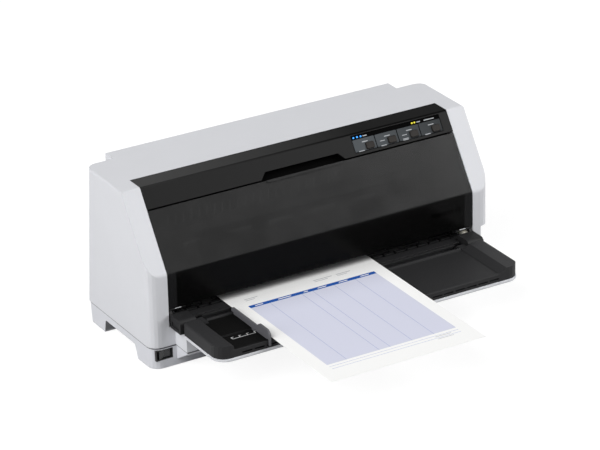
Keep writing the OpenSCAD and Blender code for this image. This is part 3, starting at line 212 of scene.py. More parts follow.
def wavering(tree, pattern, middle, reach):
    """A roughness that strays from its middle with a noise pattern, as far as reach."""
    low, high = NOISE_SPAN
    return add(tree, "MapRange", {"Value": pattern, "From Min": low, "From Max": high,
                                  "To Min": middle - reach,
                                  "To Max": middle + reach}).outputs["Result"]


def relief(tree, edge, height, depth):
    """Normal with edges rounded to a radius, and with a height pattern of that depth."""
    rounded = add(tree, "Bevel", {"Radius": edge}, samples=4).outputs["Normal"]
    return add(tree, "Bump", {"Height": height, "Distance": depth, "Strength": 0.6,
                              "Normal": rounded}).outputs["Normal"]


def moulded(name, colour, roughness, grain, depth, edge=0.5 * MM, mottle=0.03, specular=0.5):
    """A moulded plastic: even colour, fine grain, softly rounded edges."""
    material, tree, out = begin(name)
    clouds = speckle(tree, CLOUD)
    fine = speckle(tree, grain)
    shader = add(tree, "BsdfPrincipled", {
        "Base Color": two_tone(tree, clouds, shade(colour, 1 - mottle), shade(colour, 1 + mottle)),
        "Roughness": wavering(tree, fine, roughness, 0.06),
        "IOR": PLASTIC_IOR, "Specular IOR Level": specular,
        "Normal": relief(tree, edge, fine, depth)})
    tree.links.new(shader.outputs["BSDF"], out.inputs["Surface"])
    return material


def metal(name, colour, roughness, grain, stretch=None, depth=0.01 * MM):
    """A bare metal with the marks of how it was worked."""
    material, tree, out = begin(name)
    marks = speckle(tree, grain, detail=4.0, stretch=stretch)
    shader = add(tree, "BsdfPrincipled", {
        "Base Color": two_tone(tree, marks, shade(colour, 0.9), shade(colour, 1.08)),
        "Metallic": 1.0,
        "Roughness": wavering(tree, marks, roughness, 0.08),
        "Normal": relief(tree, 0.3 * MM, marks, depth)})
    tree.links.new(shader.outputs["BSDF"], out.inputs["Surface"])
    return material


def finish(nodes, material):
    """Gives CAD nodes one material."""
    for name in nodes:
        mesh = NODES[name].data
        mesh.materials.clear()
        mesh.materials.append(material)


# ---- mesh helpers ----

def shaped(name, build, materials):
    """A new object whose mesh a function builds, with its materials in order."""
    mesh = bpy.data.meshes.new(name)
    made = bmesh.new()
    build(made)
    bmesh.ops.recalc_face_normals(made, faces=made.faces)
    made.to_mesh(mesh)
    made.free()
    for material in materials:
        mesh.materials.append(material)
    thing = bpy.data.objects.new(name, mesh)
    bpy.context.scene.collection.objects.link(thing)
    return thing


def piece(name, build, material, body):
    """A new mesh piece that rides on a body."""
    thing = shaped(name, build, [material])
    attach(thing, body)


def slab(made, outline, bottom, top, to_world):
    """A closed slab over a convex outline, between two heights, placed by a matrix."""
    low = [made.verts.new(to_world @ Vector((x, y, bottom))) for x, y in outline]
    high = [made.verts.new(to_world @ Vector((x, y, top))) for x, y in outline]
    made.faces.new(low[::-1])
    made.faces.new(high)
    for i in range(len(outline)):
        j = (i + 1) % len(outline)
        made.faces.new((low[i], low[j], high[j], high[i]))


def rounded_bar(x0, x1, y0, y1, corner, steps=4):
    """Outline of a bar with round corners."""
    points = []
    for cx, cy, start in ((x1, y1, 0), (x0, y1, 90), (x0, y0, 180), (x1, y0, 270)):
        mx = cx - math.copysign(corner, cx - (x0 + x1) / 2)
        my = cy - math.copysign(corner, cy - (y0 + y1) / 2)
        for k in range(steps + 1):
            angle = math.radians(start + 90 * k / steps)
            points.append((mx + corner * math.cos(angle), my + corner * math.sin(angle)))
    return points


# ---- casing ----

PARTING_Z = 26.9 * MM       # painted shade: the base is darker from here up to the parting line, as under the upper casing's overhang
SEAM_SHADE = "#66676a"
HOLD_Y = (80 * MM, 160 * MM)        # the rear faces of the hand holds lie between these
HOLD_Z = 22 * MM                    # and below this height
HOLD_SHADE = "#77787b"


def textured_abs(name, colour, look):
    """ABS from a spark-eroded mould: a matt, faintly grained skin that scatters light evenly."""
    return moulded(name, colour, roughness=0.58, grain=look.grain, depth=0.02 * MM,
                   edge=look.edge, mottle=0.008, specular=0.15)


def base_abs(colour, look):
    """Textured ABS of the base, with painted shade just under the parting line and on the hand
    holds' rear faces.
    """
    material = textured_abs("light_textured_abs_base", colour, look)
    tree = material.node_tree
    shader = next(node for node in tree.nodes if node.type == "BSDF_PRINCIPLED")
    unshaded = shader.inputs["Base Color"].links[0].from_socket
    spot = position(tree)
    forward = zone(tree, facing(tree)["Y"], high=-0.5, fade=0.3)
    in_hold = overlap(tree, forward, zone(tree, spot["Y"], *HOLD_Y, 1 * MM),
                      zone(tree, spot["Z"], high=HOLD_Z, fade=1 * MM))
    # painted shade: a darker band just under the parting line, and darker rear faces in the hand
    # holds
    shaded = layered(tree, unshaded, (zone(tree, spot["Z"], PARTING_Z), opaque(SEAM_SHADE)),
                    (in_hold, opaque(HOLD_SHADE)))
    tree.links.new(shaded, shader.inputs["Base Color"])
    return material


def nitrile_rubber():
    """Nitrile rubber, pressed: soft and nearly black, with hardly any shine."""
    return moulded("nitrile_rubber", linear("#1d1d1d"), roughness=0.8, grain=1.2 * MM,
                   depth=0.04 * MM, specular=0.3)


def zinc_plated_steel():
    """Sheet steel with bright zinc: pale grey with a fine cloudy spangle."""
    return metal("zinc_plated_steel", linear("#a9adb0"), roughness=0.38, grain=6 * MM)


def ground_steel():
    """Ground and polished shaft steel: smooth, with faint rings round the shaft."""
    return metal("ground_steel", linear("#c6c8ca"), roughness=0.18, grain=1.5 * MM,
                 stretch=SHAFT_RINGS)


class FinishCasing(bpy.types.Operator):
    """Finishes the casing shells, the connector housing, the feet, screws and socket plates"""
    bl_idname = "printer.finish_casing"
    bl_label = "Casing"

    def execute(self, context):
        look = context.scene.printer_casing
        finish(["upper_casing", "connector_housing"],
               textured_abs("light_textured_abs", look.shell, look))
        finish(["base_casing"], base_abs(look.base, look))
        finish(["rubber_feet"], nitrile_rubber())
        finish(["case_screws", "socket_plates"], zinc_plated_steel())
        return {"FINISHED"}


# ---- control strip ----

SLOPE_BEND = Vector((0.0, BORDER_FRONT, 0.122))     # where the slope starts over the front wall
SLOPE_RUN = Vector((0.0, 60 * MM, 90 * MM)).normalized()
SLOPE_OUT = SLOPE_RUN.cross(Vector((1.0, 0.0, 0.0))) * -1

RECESS_BELOW = -0.9 * MM    # the strip's finger recess and wells lie deeper than this
CREST_Z = 210.5 * MM        # its crest lies above this height
CREST_LEFT = -190 * MM      # painted shade darkens the crest from here to the right, as the light falls off
CREST_FADE = 280 * MM
CREST_PAINTED_FALLOFF = (1.4, 0.25)
CREST_PAINTED_SHEEN = (0.07, 0.012)
SATIN_GRAIN = 0.7 * MM      # drawn coarser than the real grain, so that it shows
SATIN_EDGE = 0.6 * MM
SATIN_DEPTH = 0.008 * MM
LABELS_LEFT = 90 * MM       # painted shade darkens the label plates from here to the right, as the light falls off
LABELS_FADE = 110 * MM
LABEL_PAINTED_FALLOFF = (1.15, 0.45)


def slope_matrix():
    """X across, Y up the slope from its lower bend, Z straight out of it."""
    turned = Matrix((Vector((1, 0, 0)), SLOPE_RUN, SLOPE_OUT)).transposed()
    return Matrix.Translation(SLOPE_BEND) @ turned.to_4x4()


def satin_abs(name, colour, roughness):
    """ABS from a polished mould: smooth and satin, so edges take a thin highlight."""
    return moulded(name, colour, roughness, SATIN_GRAIN, SATIN_DEPTH, SATIN_EDGE, mottle=0.04,
                   specular=0.08)


def strip_abs(colour):
    """Satin black ABS of the strip: its crest painted paler and shinier on the left and darker to
    the right as the light falls off, its recess painted black and unlit as shade.
    """
    material, tree, out = begin("black_satin_abs")
    spot = position(tree)
    height = add(tree, "VectorMath", {0: add(tree, "TexCoord").outputs["Object"], 1: SLOPE_OUT},
                 operation="DOT_PRODUCT").outputs["Value"]
    raised = zone(tree, height, SLOPE_BEND.dot(SLOPE_OUT) + RECESS_BELOW, fade=0.3 * MM)
    crest = zone(tree, spot["Z"], CREST_Z)
    open_face = add(tree, "Math", {0: raised, 1: crest}, operation="MAXIMUM").outputs["Value"]
    # painted light and shade: the crest paler and shinier at its left, darker and duller to its
    # right; the recess black with no sheen
    rightward = zone(tree, spot["X"], CREST_LEFT, fade=CREST_FADE)
    paler, darker = (shade(colour, by) for by in CREST_PAINTED_FALLOFF)
    band = layered(tree, paler, (rightward, darker))
    sheen = layered(tree, CREST_PAINTED_SHEEN[0], (overlap(tree, rightward, crest), CREST_PAINTED_SHEEN[1]))
    fine = speckle(tree, SATIN_GRAIN)
    shader = add(tree, "BsdfPrincipled", {
        "Base Color": layered(tree, opaque(UNLIT),
                              (open_face, layered(tree, shade(colour), (crest, band)))),
        "Specular IOR Level": overlap(tree, sheen, open_face),
        "Roughness": wavering(tree, fine, 0.42, 0.06), "IOR": PLASTIC_IOR,
        "Normal": relief(tree, SATIN_EDGE, fine, SATIN_DEPTH)})
    tree.links.new(shader.outputs["BSDF"], out.inputs["Surface"])
    return material


def label_plate(colour):
    """Satin grey ABS plates in a row, with a painted shade that darkens them from left to right as
    the light falls off.
    """
    material, tree, out = begin("grey_label_plate")
    # painted shade: the plates paler at the left, darker to the right
    rightward = zone(tree, position(tree)["X"], LABELS_LEFT, fade=LABELS_FADE)
    paler, darker = (shade(colour, by) for by in LABEL_PAINTED_FALLOFF)
    fine = speckle(tree, SATIN_GRAIN)
    shader = add(tree, "BsdfPrincipled", {
        "Base Color": layered(tree, paler, (rightward, darker)),
        "Specular IOR Level": 0.08, "IOR": PLASTIC_IOR,
        "Roughness": wavering(tree, fine, 0.5, 0.06),
        "Normal": relief(tree, SATIN_EDGE, fine, SATIN_DEPTH)})
    tree.links.new(shader.outputs["BSDF"], out.inputs["Surface"])
    return material


def screen_ink(name, hex_colour):
    """Screen-printed ink: flat, opaque and matt, a few hundredths of a millimetre thick."""
    return moulded(name, linear(hex_colour), roughness=0.6, grain=0.5 * MM, depth=0.004 * MM,
                   edge=0.02 * MM, mottle=0.02, specular=0.2)


def lit_lens(name, hex_colour, level):
    """Lens of a small lamp, clear acrylic over a lit diode: saturated, and a little bright."""
    material, tree, out = begin(name)
    fine = speckle(tree, 0.8 * MM)
    colour = two_tone(tree, fine, opaque(hex_colour), shade(linear(hex_colour), 1.15))
    shader = add(tree, "BsdfPrincipled", {
        "Base Color": colour, "Roughness": 0.2, "IOR": 1.49,
        "Emission Color": colour, "Emission Strength": level})
    tree.links.new(shader.outputs["BSDF"], out.inputs["Surface"])
    return material


def fibreglass_board(name, hex_colour):
    """Fibreglass board under solder mask: glossy, with a faint woven mottle."""
    return moulded(name, linear(hex_colour), roughness=0.35, grain=1.6 * MM, depth=0.03 * MM,
                   edge=0.2 * MM, mottle=0.12)


LABEL_PITCH = 31.9 * MM
FIRST_BUTTON_X = 97.35 * MM
BUTTON_S = 89.17 * MM       # the buttons' middle, measured up the slope
PLATE_TOP = -0.3 * MM       # the label plates' face, measured out of the slope
INK_HALF = 0.05 * MM        # half of the ink's thickness
BAR_CORNER = 0.3 * MM

# Bars in millimetres from a button's middle: left, right, low, high
EVERY_BARS = ((-9.5, -1.5, 5.5, 6.6), (-17.2, -9.2, -5.2, -4.2))
LAMP_LABEL = (-17.0, -10.0, 1.0, 1.9)
EXTRA_BARS = ((), (LAMP_LABEL,), (LAMP_LABEL, (-17.2, -9.2, -3.7, -2.9)), ())

# Bars beside the lamps in millimetres: left and right, then low and high up the slope
LAMP_BARS = ((91.5, 97.5), (169.5, 174.5), (180.0, 195.0))
LAMP_BARS_S = (101.7 * MM, 102.9 * MM)
LAMP_INK = (-1.05 * MM, -0.92 * MM)     # from inside the strip's black band to just over it


def panel_marks(made):
    """Plain bars where a printed panel has its labels: above each button and to its left."""
    world = slope_matrix()
    for i, extra in enumerate(EXTRA_BARS):
        x = FIRST_BUTTON_X + i * LABEL_PITCH
        for x0, x1, y0, y1 in EVERY_BARS + extra:
            outline = rounded_bar(x + x0 * MM, x + x1 * MM,
                                  BUTTON_S + y0 * MM, BUTTON_S + y1 * MM, BAR_CORNER)
            slab(made, outline, PLATE_TOP - INK_HALF, PLATE_TOP + INK_HALF, world)


def lamp_marks(made):
    """Plain bars beside the lamps, on the strip's black band."""
    for x0, x1 in LAMP_BARS:
        outline = rounded_bar(x0 * MM, x1 * MM, *LAMP_BARS_S, BAR_CORNER)
        slab(made, outline, *LAMP_INK, slope_matrix())


class FinishControlStrip(bpy.types.Operator):
    """Finishes the control strip, label plates, buttons and lamps, and prints the plain marks"""
    bl_idname = "printer.finish_control_strip"
    bl_label = "Control strip"

    def execute(self, context):
        look = context.scene.printer_dark
        finish(["control_strip"], strip_abs(look.strip))
        finish(["label_plates"], label_plate(look.label))
        finish(["button_1", "button_2", "button_3", "button_4"],
               satin_abs("dark_button_abs", linear("#272422"), 0.38))
        finish(["blue_lamps"], lit_lens("blue_lamp_lens", "#2f8fe6", 0.6))
        finish(["yellow_lamps"], lit_lens("yellow_lamp_lens", "#c9bd12", 0.4))
        finish(["control_board"], fibreglass_board("control_board_mask", "#1f5a38"))
        ink = screen_ink("pale_screen_ink", "#a4a7aa")
        piece("panel_marks", panel_marks, ink, "chassis")
        piece("lamp_marks", lamp_marks, ink, "chassis")
        return {"FINISHED"}


# ---- front cover ----

BEND_Z = 121.4 * MM         # the cover's slope starts at this height, over its wall
COVER_END = 202.6 * MM      # beyond this the cover's end walls show through it
END_TINT = "#1f1f20"
WINDOW_HALF = 166.5 * MM    # painted shade of the dark inside behind the slope reaches out to here
WINDOW_TOP = 155.5 * MM     # and up to this height
WINDOW_SHADE = 0.8
SLOT_X = (155 * MM, 197 * MM)       # painted shade of the black opening behind the cover's wall, at its right
SLOT_Z = (101 * MM, 107 * MM)
SLOT_SHADE = "#010101"
WALL = 2.6 * MM             # the casing's wall, which hides the outer ends of the pins
BARE_END = 18.1 * MM        # the pins' painted shade stops this far inside the borders
PIN_SHADE_BLACK = "#101011"


def smoked_polycarbonate(colour):
    """Smoked polycarbonate, polished: dark and glossy, with painted shade for the dark inside
    behind it, black behind its wall and slot and darker in the slope's window.
    """
    material, tree, out = begin("smoked_polycarbonate")
    spot = position(tree)
    across = add(tree, "Math", {0: spot["X"]}, operation="ABSOLUTE").outputs["Value"]
    on_slope = zone(tree, spot["Z"], BEND_Z, fade=1.2 * MM)
    at_end = zone(tree, across, COVER_END, fade=0.8 * MM)
    # painted shade of the dark inside: darker in the slope's window, black behind the wall and the
    # slot
    window = overlap(tree, zone(tree, across, high=WINDOW_HALF, fade=1 * MM),
                     zone(tree, spot["Z"], high=WINDOW_TOP, fade=1 * MM))
    slot = overlap(tree, zone(tree, spot["X"], *SLOT_X, 0.3 * MM),
                   zone(tree, spot["Z"], *SLOT_Z, 0.3 * MM))
    slope_tint = layered(tree, shade(colour), (window, shade(colour, WINDOW_SHADE)))
    fine = speckle(tree, 30 * MM)
    shader = add(tree, "BsdfPrincipled", {
        "Base Color": layered(tree, opaque(UNLIT), (at_end, opaque(END_TINT)),
                              (slot, opaque(SLOT_SHADE)), (on_slope, slope_tint)),
        "IOR": 1.58, "Specular IOR Level": layered(tree, 0.035, (on_slope, 0.11)),
        "Roughness": wavering(tree, fine, 0.2, 0.04), "Alpha": 0.93,
        "Normal": relief(tree, 0.5 * MM, fine, 0.05 * MM)})
    tree.links.new(shader.outputs["BSDF"], out.inputs["Surface"])
    return material


def shade_painted_pin(outer):
    """Ground steel pin, painted black as shade over its inner length to hide its reflection there:
    bright only where its bare end shows.
    """
    material, tree, out = begin("shade_painted_steel_pin")
    across = add(tree, "Math", {0: position(tree)["X"]}, operation="ABSOLUTE").outputs["Value"]
    # painted shade: black and not metal over the pin's inner length, which hides its reflection
    # there
    bare = zone(tree, across, outer - BARE_END, fade=0.1 * MM)
    rings = speckle(tree, 1.5 * MM, detail=4.0, stretch=SHAFT_RINGS)
    steel = two_tone(tree, rings, opaque("#b8babc"), opaque("#cdcfd1"))
    shader = add(tree, "BsdfPrincipled", {
        "Base Color": layered(tree, opaque(PIN_SHADE_BLACK), (bare, steel)), "Metallic": bare,
        "Roughness": wavering(tree, rings, 0.21, 0.05), "Specular IOR Level": 0.2,
        "Normal": relief(tree, 0.2 * MM, rings, 0.005 * MM)})
    tree.links.new(shader.outputs["BSDF"], out.inputs["Surface"])
    return material


class FinishFrontCover(bpy.types.Operator):
    """Finishes the smoked cover, its hinge pins and the tray's pins"""
    bl_idname = "printer.finish_front_cover"
    bl_label = "Front cover"

    def execute(self, context):
        finish(["front_cover"], smoked_polycarbonate(context.scene.printer_dark.cover))
        pins_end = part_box("cover_pins")[1].x
        finish(["cover_pins"], shade_painted_pin(pins_end - WALL))
        finish(["tray_pins"], ground_steel())
        return {"FINISHED"}


# ---- sheet tray ----

FLOOR_Z = 64.5 * MM         # the tray's floor and grooves lie below this height
LEFT_FLOOR_X = (-189 * MM, -138 * MM)       # its darker, less shiny part, left of the sheet
LEFT_FLOOR_TONE = "#070707"
RIM_SHADE = 1.45

RULER_X = (-176 * MM, -145 * MM)
RULER_Y = BORDER_FRONT - 84 * MM
RULER_Z = 62.2 * MM         # the floor's face under the ruler
RULER_MARKS = 4
RULER_INK_HALF = 0.06 * MM
# Each mark in millimetres from its foot on the baseline: left, right, low, high
RULER_MARK = ((-0.5, 0.5, 0.5, 4.5), (0.5, 3.2, 3.6, 4.5))


def tray_abs(colour):
    """Black ABS with an etched grain: rim and blocks paler than the floor, the floor's left darker
    still and less shiny.
    """
    material, tree, out = begin("black_tray_abs")
    spot = position(tree)
    floor = overlap(tree, zone(tree, spot["Z"], high=FLOOR_Z, fade=0.3 * MM),
                    zone(tree, facing(tree)["Z"], 0.6, fade=0.2))
    # the floor's left part, darker and less shiny than the rest
    smooth = overlap(tree, floor, zone(tree, spot["X"], *LEFT_FLOOR_X, 1 * MM))
    fine = speckle(tree, 0.8 * MM)
    shader = add(tree, "BsdfPrincipled", {
        "Base Color": layered(tree, shade(colour, RIM_SHADE), (floor, shade(colour)),
                              (smooth, opaque(LEFT_FLOOR_TONE))),
        "Specular IOR Level": layered(tree, 0.15, (smooth, 0.06)), "IOR": PLASTIC_IOR,
        "Roughness": wavering(tree, fine, 0.55, 0.06),
        "Normal": relief(tree, 0.7 * MM, fine, 0.03 * MM)})
    tree.links.new(shader.outputs["BSDF"], out.inputs["Surface"])
    return material


def etched_abs(name, colour):
    """Black ABS from an etched mould, as on the tray's rim: matt, its broad edges softly lit."""
    return moulded(name, colour, roughness=0.55, grain=0.8 * MM, depth=0.03 * MM,
                   edge=0.7 * MM, mottle=0.05, specular=0.15)


def guide_acetal(name, colour):
    """Dyed acetal, which slides well: smooth and waxy, a little glossier than the tray."""
    return moulded(name, colour, roughness=0.45, grain=0.6 * MM, depth=0.01 * MM,
                   edge=0.5 * MM, mottle=0.03, specular=0.3)


def ruler_ticks(made):
    """Baseline and ticks that show where standard sheet edges lie, printed on the tray's floor."""
    left, right = RULER_X
    bars = [(left, right, -0.5, 0.5)]
    for i in range(RULER_MARKS):
        x = left + (right - left) * i / (RULER_MARKS - 1)
        bars += [(x + x0 * MM, x + x1 * MM, y0, y1) for x0, x1, y0, y1 in RULER_MARK]
    for x0, x1, y0, y1 in bars:
        slab(made, rounded_bar(x0, x1, RULER_Y + y0 * MM, RULER_Y + y1 * MM, 0.2 * MM),
             RULER_Z - RULER_INK_HALF, RULER_Z + RULER_INK_HALF, Matrix.Identity(4))


class FinishTray(bpy.types.Operator):
    """Finishes the tray, its plate, brackets and edge guide, and prints the ruler"""
    bl_idname = "printer.finish_tray"
    bl_label = "Sheet tray"

    def execute(self, context):
        dark, casing = context.scene.printer_dark, context.scene.printer_casing
        finish(["sheet_tray"], tray_abs(dark.tray))
        finish(["tray_brackets"], etched_abs("black_textured_abs", dark.tray))
        finish(["tray_underplate"], textured_abs("light_textured_abs_plate", casing.shell, casing))
        finish(["edge_guide"], guide_acetal("grey_acetal", dark.guide))
        piece("ruler_ticks", ruler_ticks, screen_ink("white_screen_ink", "#c9cacb"), "sheet_tray")
        return {"FINISHED"}


# ---- sheet ----

SHADE_REACH = 70 * MM       # how far the cover's foot keeps light off the sheet
SHADE_DEPTH = 0.5           # the sheet's tone where no light reaches it


def offset_paper(name, colour):
    """Uncoated bond paper: white and matt, greyer under the cover, with fibres seen close by."""
    material, tree, out = begin(name)
    fibres = speckle(tree, 0.7 * MM, detail=5.0, stretch=(1.0, 0.35, 1.0))
    open_sky = add(tree, "AmbientOcclusion", {"Distance": SHADE_REACH}, samples=6).outputs["AO"]
    lit = two_tone(tree, fibres, shade(colour, 0.985), shade(colour, 1.01))
    bumps = add(tree, "Bump", {"Height": fibres, "Distance": 0.02 * MM, "Strength": 0.4})
    shader = add(tree, "BsdfPrincipled", {
        "Base Color": layered(tree, shade(colour, SHADE_DEPTH), (open_sky, lit)),
        "Roughness": 0.9, "IOR": 1.5, "Specular IOR Level": 0.2,
        "Normal": bumps.outputs["Normal"]})
    tree.links.new(shader.outputs["BSDF"], out.inputs["Surface"])
    return material


# The printed form in millimetres, from the sheet's left edge and from its rear edge
PAPER, HEADING, TABLE, RULE, NOTE = range(5)
HEADING_FROM, HEADING_DEEP = 76, 6.5
TABLE_DEEP = 176
TABLE_SIDE = (17.5, 193.5)
COLUMNS = (17.5, 44, 88, 103, 133, 163, 193.5)
COLUMN_MARK = (2.4, 4.1)    # a pale bar in the middle of each column's heading
COLUMN_MARK_HALF = 0.2      # half of its length, as a share of the column
RULE_WIDE = 0.7
FOOT_LINES = (5, 11)        # lines under the table, each with a mark below its right end
FOOT_LINE_DEEP = 0.6
FOOT_MARK = (34, 12, 2.4, 3.5)      # from and to before the right side, then below the line
NOTES = ((22, 18), (118, 26), (150, 20))            # small marks over the form: left, length
NOTE_ROWS = ((58, 59.4, 1.0), (61.6, 62.8, 0.7))    # from, to, share of the length
CUT_STEP = 4                # between the cuts across the sheet


def sheet_print():
    """Printed rectangles of the form as (ink, left, right, from the rear edge, to)."""
    left, right = TABLE_SIDE
    top = HEADING_FROM + HEADING_DEEP
    foot = top + TABLE_DEEP
    marks = [(HEADING, left, right, HEADING_FROM, top), (TABLE, left, right, top, foot)]
    marks += [(RULE, x - RULE_WIDE / 2, x + RULE_WIDE / 2, top, foot) for x in COLUMNS[1:-1]]
    for a, b in zip(COLUMNS, COLUMNS[1:]):
        mid, half = (a + b) / 2, (b - a) * COLUMN_MARK_HALF
        marks.append((PAPER, mid - half, mid + half, *(HEADING_FROM + y for y in COLUMN_MARK)))
    x0, x1, y0, y1 = FOOT_MARK
    for y in (foot + below for below in FOOT_LINES):
        marks.append((RULE, left, right, y, y + FOOT_LINE_DEEP))
        marks.append((NOTE, right - x0, right - x1, y + y0, y + y1))
    for x, length in NOTES:
        marks += [(NOTE, x, x + length * share, y0, y1) for y0, y1, share in NOTE_ROWS]
    return marks


def printed_sheet(made, low, high):
    """The sheet as a thin closed slab, its top cut along the edges of all that is printed on it."""
    width, length = (high.x - low.x) / MM, (high.y - low.y) / MM
    marks = sheet_print()
    across = sorted({0, width, *(m[1] for m in marks), *(m[2] for m in marks)})
    along = {0, length, *(m[3] for m in marks), *(m[4] for m in marks)}
    along |= {step * CUT_STEP for step in range(int(length / CUT_STEP) + 1)}
    along = sorted(along)

    def ink(x, y):
        found = PAPER
        for kind, left, right, start, end in marks:
            if left < x < right and start < y < end:
                found = kind
        return found

    def corner(x, y, z):
        return made.verts.new((low.x + x * MM, high.y - y * MM, z))

    top = [[corner(x, y, high.z) for x in across] for y in along]
    under = [[corner(x, y, low.z) for x in (0, width)] for y in along]
    last = len(across) - 1
    for j in range(len(along) - 1):
        for i in range(last):
            face = made.faces.new((top[j][i], top[j + 1][i], top[j + 1][i + 1], top[j][i + 1]))
            face.material_index = ink((across[i] + across[i + 1]) / 2,
                                      (along[j] + along[j + 1]) / 2)
        made.faces.new((under[j][0], under[j][1], under[j + 1][1], under[j + 1][0]))
        made.faces.new((top[j][0], under[j][0], under[j + 1][0], top[j + 1][0]))
        made.faces.new((top[j][last], top[j + 1][last], under[j + 1][1], under[j][1]))
    for j, flip in ((0, 1), (len(along) - 1, -1)):
        ring = [under[j][0]] + top[j] + [under[j][1]]
        made.faces.new(ring[::flip])


class MakeSheet(bpy.types.Operator):
    """Makes the loaded sheet with its printed form, in place of the plain one"""
    bl_idname = "printer.make_sheet"
    bl_label = "Printed sheet"

    def execute(self, context):
        look = context.scene.printer_sheet
        low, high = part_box("paper_sheet")
        inks = (("bond_paper", look.paper), ("blue_offset_ink", look.heading),
                ("lavender_offset_tint", look.table), ("rule_offset_ink", look.rule),
                ("grey_offset_ink", look.note))
        sheet = shaped("printed_sheet", lambda made: printed_sheet(made, low, high),
                       [offset_paper(name, colour) for name, colour in inks])
        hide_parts("paper_sheet")
        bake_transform(sheet)
        return {"FINISHED"}


# ---- feed, carriage and electrics ----

def polished_abs(name, hex_colour, roughness):
    """ABS from a bright mould, for pieces inside: smooth, dark and a little shiny."""
    return moulded(name, linear(hex_colour), roughness, grain=1.0 * MM, depth=0.01 * MM,
                   edge=0.4 * MM, mottle=0.05, specular=0.4)


def acetal(name, hex_colour):
    """Acetal, injection moulded: dense and waxy, with soft highlights."""
    return moulded(name, linear(hex_colour), roughness=0.42, grain=1.4 * MM, depth=0.01 * MM,
                   edge=0.25 * MM, mottle=0.02)


def turned_brass():
    """Free-cutting brass from the lathe: warm, bright, with fine turning marks."""
    return metal("turned_brass", linear("#c9a45c"), roughness=0.28, grain=1.2 * MM,
                 stretch=(1.0, 0.2, 1.0))


def cast_aluminium():
    """Die-cast aluminium, bead blasted: dull silver with a fine even grain."""
    return metal("cast_aluminium", linear("#b3b6ba"), roughness=0.45, grain=0.9 * MM,
                 depth=0.03 * MM)


def nickel_plate():
    """Nickel on the sockets' steel shells: smooth and pale, with soft reflections."""
    return metal("nickel_plate", linear("#bfc1c2"), roughness=0.3, grain=3 * MM)


def inked_nylon():
    """Woven nylon soaked in ink: nearly black, with a fine cross weave."""
    return moulded("inked_nylon", linear("#15151c"), roughness=0.7, grain=0.6 * MM,
                   depth=0.05 * MM, edge=0.05 * MM, mottle=0.1)


class FinishFeed(bpy.types.Operator):
    """Finishes the frames, guides, rollers, gears, knob and motor of the paper feed"""
    bl_idname = "printer.finish_feed"
    bl_label = "Paper feed"

    def execute(self, context):
        finish(["left_side_frame", "right_side_frame", "rear_beam"], zinc_plated_steel())
        finish(["lower_paper_guide", "pinch_holder", "platen_bar"],
               polished_abs("black_guide_abs", "#19191a", 0.45))
        finish(["front_feed_roller", "rear_feed_roller"], nitrile_rubber())
        finish(["front_pinch_roller", "rear_pinch_roller"],
               acetal("grey_acetal_roller", "#55585c"))
        finish(["front_feed_gear", "rear_feed_gear", "idler_gear"],
               acetal("natural_acetal", "#e6e2d6"))
        finish(["feed_knob"], polished_abs("dark_knob_abs", "#303134", 0.5))
        finish(["motor_pinion"], turned_brass())
        finish(["feed_motor"], zinc_plated_steel())
        return {"FINISHED"}


class FinishCarriage(bpy.types.Operator):
    """Finishes the carriage, print head, ribbon, belt drive and gap lever"""
    bl_idname = "printer.finish_carriage"
    bl_label = "Carriage"

    def execute(self, context):
        finish(["carriage_shaft"], ground_steel())
        finish(["carriage"], polished_abs("black_carriage_abs", "#1b1b1d", 0.5))
        finish(["ribbon_cartridge"], polished_abs("black_cartridge_abs", "#161617", 0.4))
        finish(["ribbon_knob"], polished_abs("dark_ribbon_knob_abs", "#2b2c2e", 0.45))
        finish(["print_head"], cast_aluminium())
        finish(["ribbon_mask", "gap_lever"], acetal("blue_acetal", "#3a64a0"))
        finish(["ribbon_band"], inked_nylon())
        finish(["carriage_motor"], zinc_plated_steel())
        finish(["drive_pulley"], turned_brass())
        finish(["idler_pulley"], acetal("dark_acetal_pulley", "#3c3d40"))
        finish(["timing_belt"], nitrile_rubber())
        return {"FINISHED"}


class FinishElectrics(bpy.types.Operator):
    """Finishes the boards, the sockets and the power rocker"""
    bl_idname = "printer.finish_electrics"
    bl_label = "Electrics"

    def execute(self, context):
        finish(["main_board"], fibreglass_board("main_board_mask", "#1f5a38"))
        finish(["power_board"], fibreglass_board("power_board_laminate", "#86683a"))
        finish(["power_inlet", "rocker_housing"],
               polished_abs("black_nylon_housing", "#151516", 0.4))
        finish(["power_rocker"], polished_abs("black_rocker_nylon", "#1f2022", 0.3))
        finish(["parallel_port", "usb_port"], nickel_plate())
        return {"FINISHED"}


# ---- stage ----

# The camera as fitted to the photograph, in metres and degrees; its sensor and lens in millimetres
CAMERA_PLACE = Vector((-1.75656, -2.99338 + BORDER_FRONT, 1.72751))
CAMERA_YAW = 29.933
CAMERA_PITCH = 24.678
CAMERA_ROLL = -1.460
SENSOR = 36.0
LENS = 190.16
SIGHT = 50.0                # how far it sees

FLOOR_REACH = 12.0          # metres from the middle of the floor to its edges
FLOOR_SEEN = "#f7f7f7"      # its paint as the camera sees it
FLOOR_GLOW = 1.1            # its own light, which the camera and gloss alone see
FLOOR_GLOW_SHARE = 0.8      # that light's share against the paint, which keeps the shadow

# Each softbox: name, bearing from straight ahead (right is positive), height angle, watts
SOFTBOXES = (("front_left", -60, 42, 146.6), ("right", 62, 30, 231.9), ("left_low", -90, 12, 104.3),
             ("left_high", -90, 42, 42.0), ("behind", 180, 6, 75.0))
SOFTBOX_SIZE = 3.0
SOFTBOX_AWAY = 5.0
LOOK_AT = Vector((0.0, 0.0, 0.1))


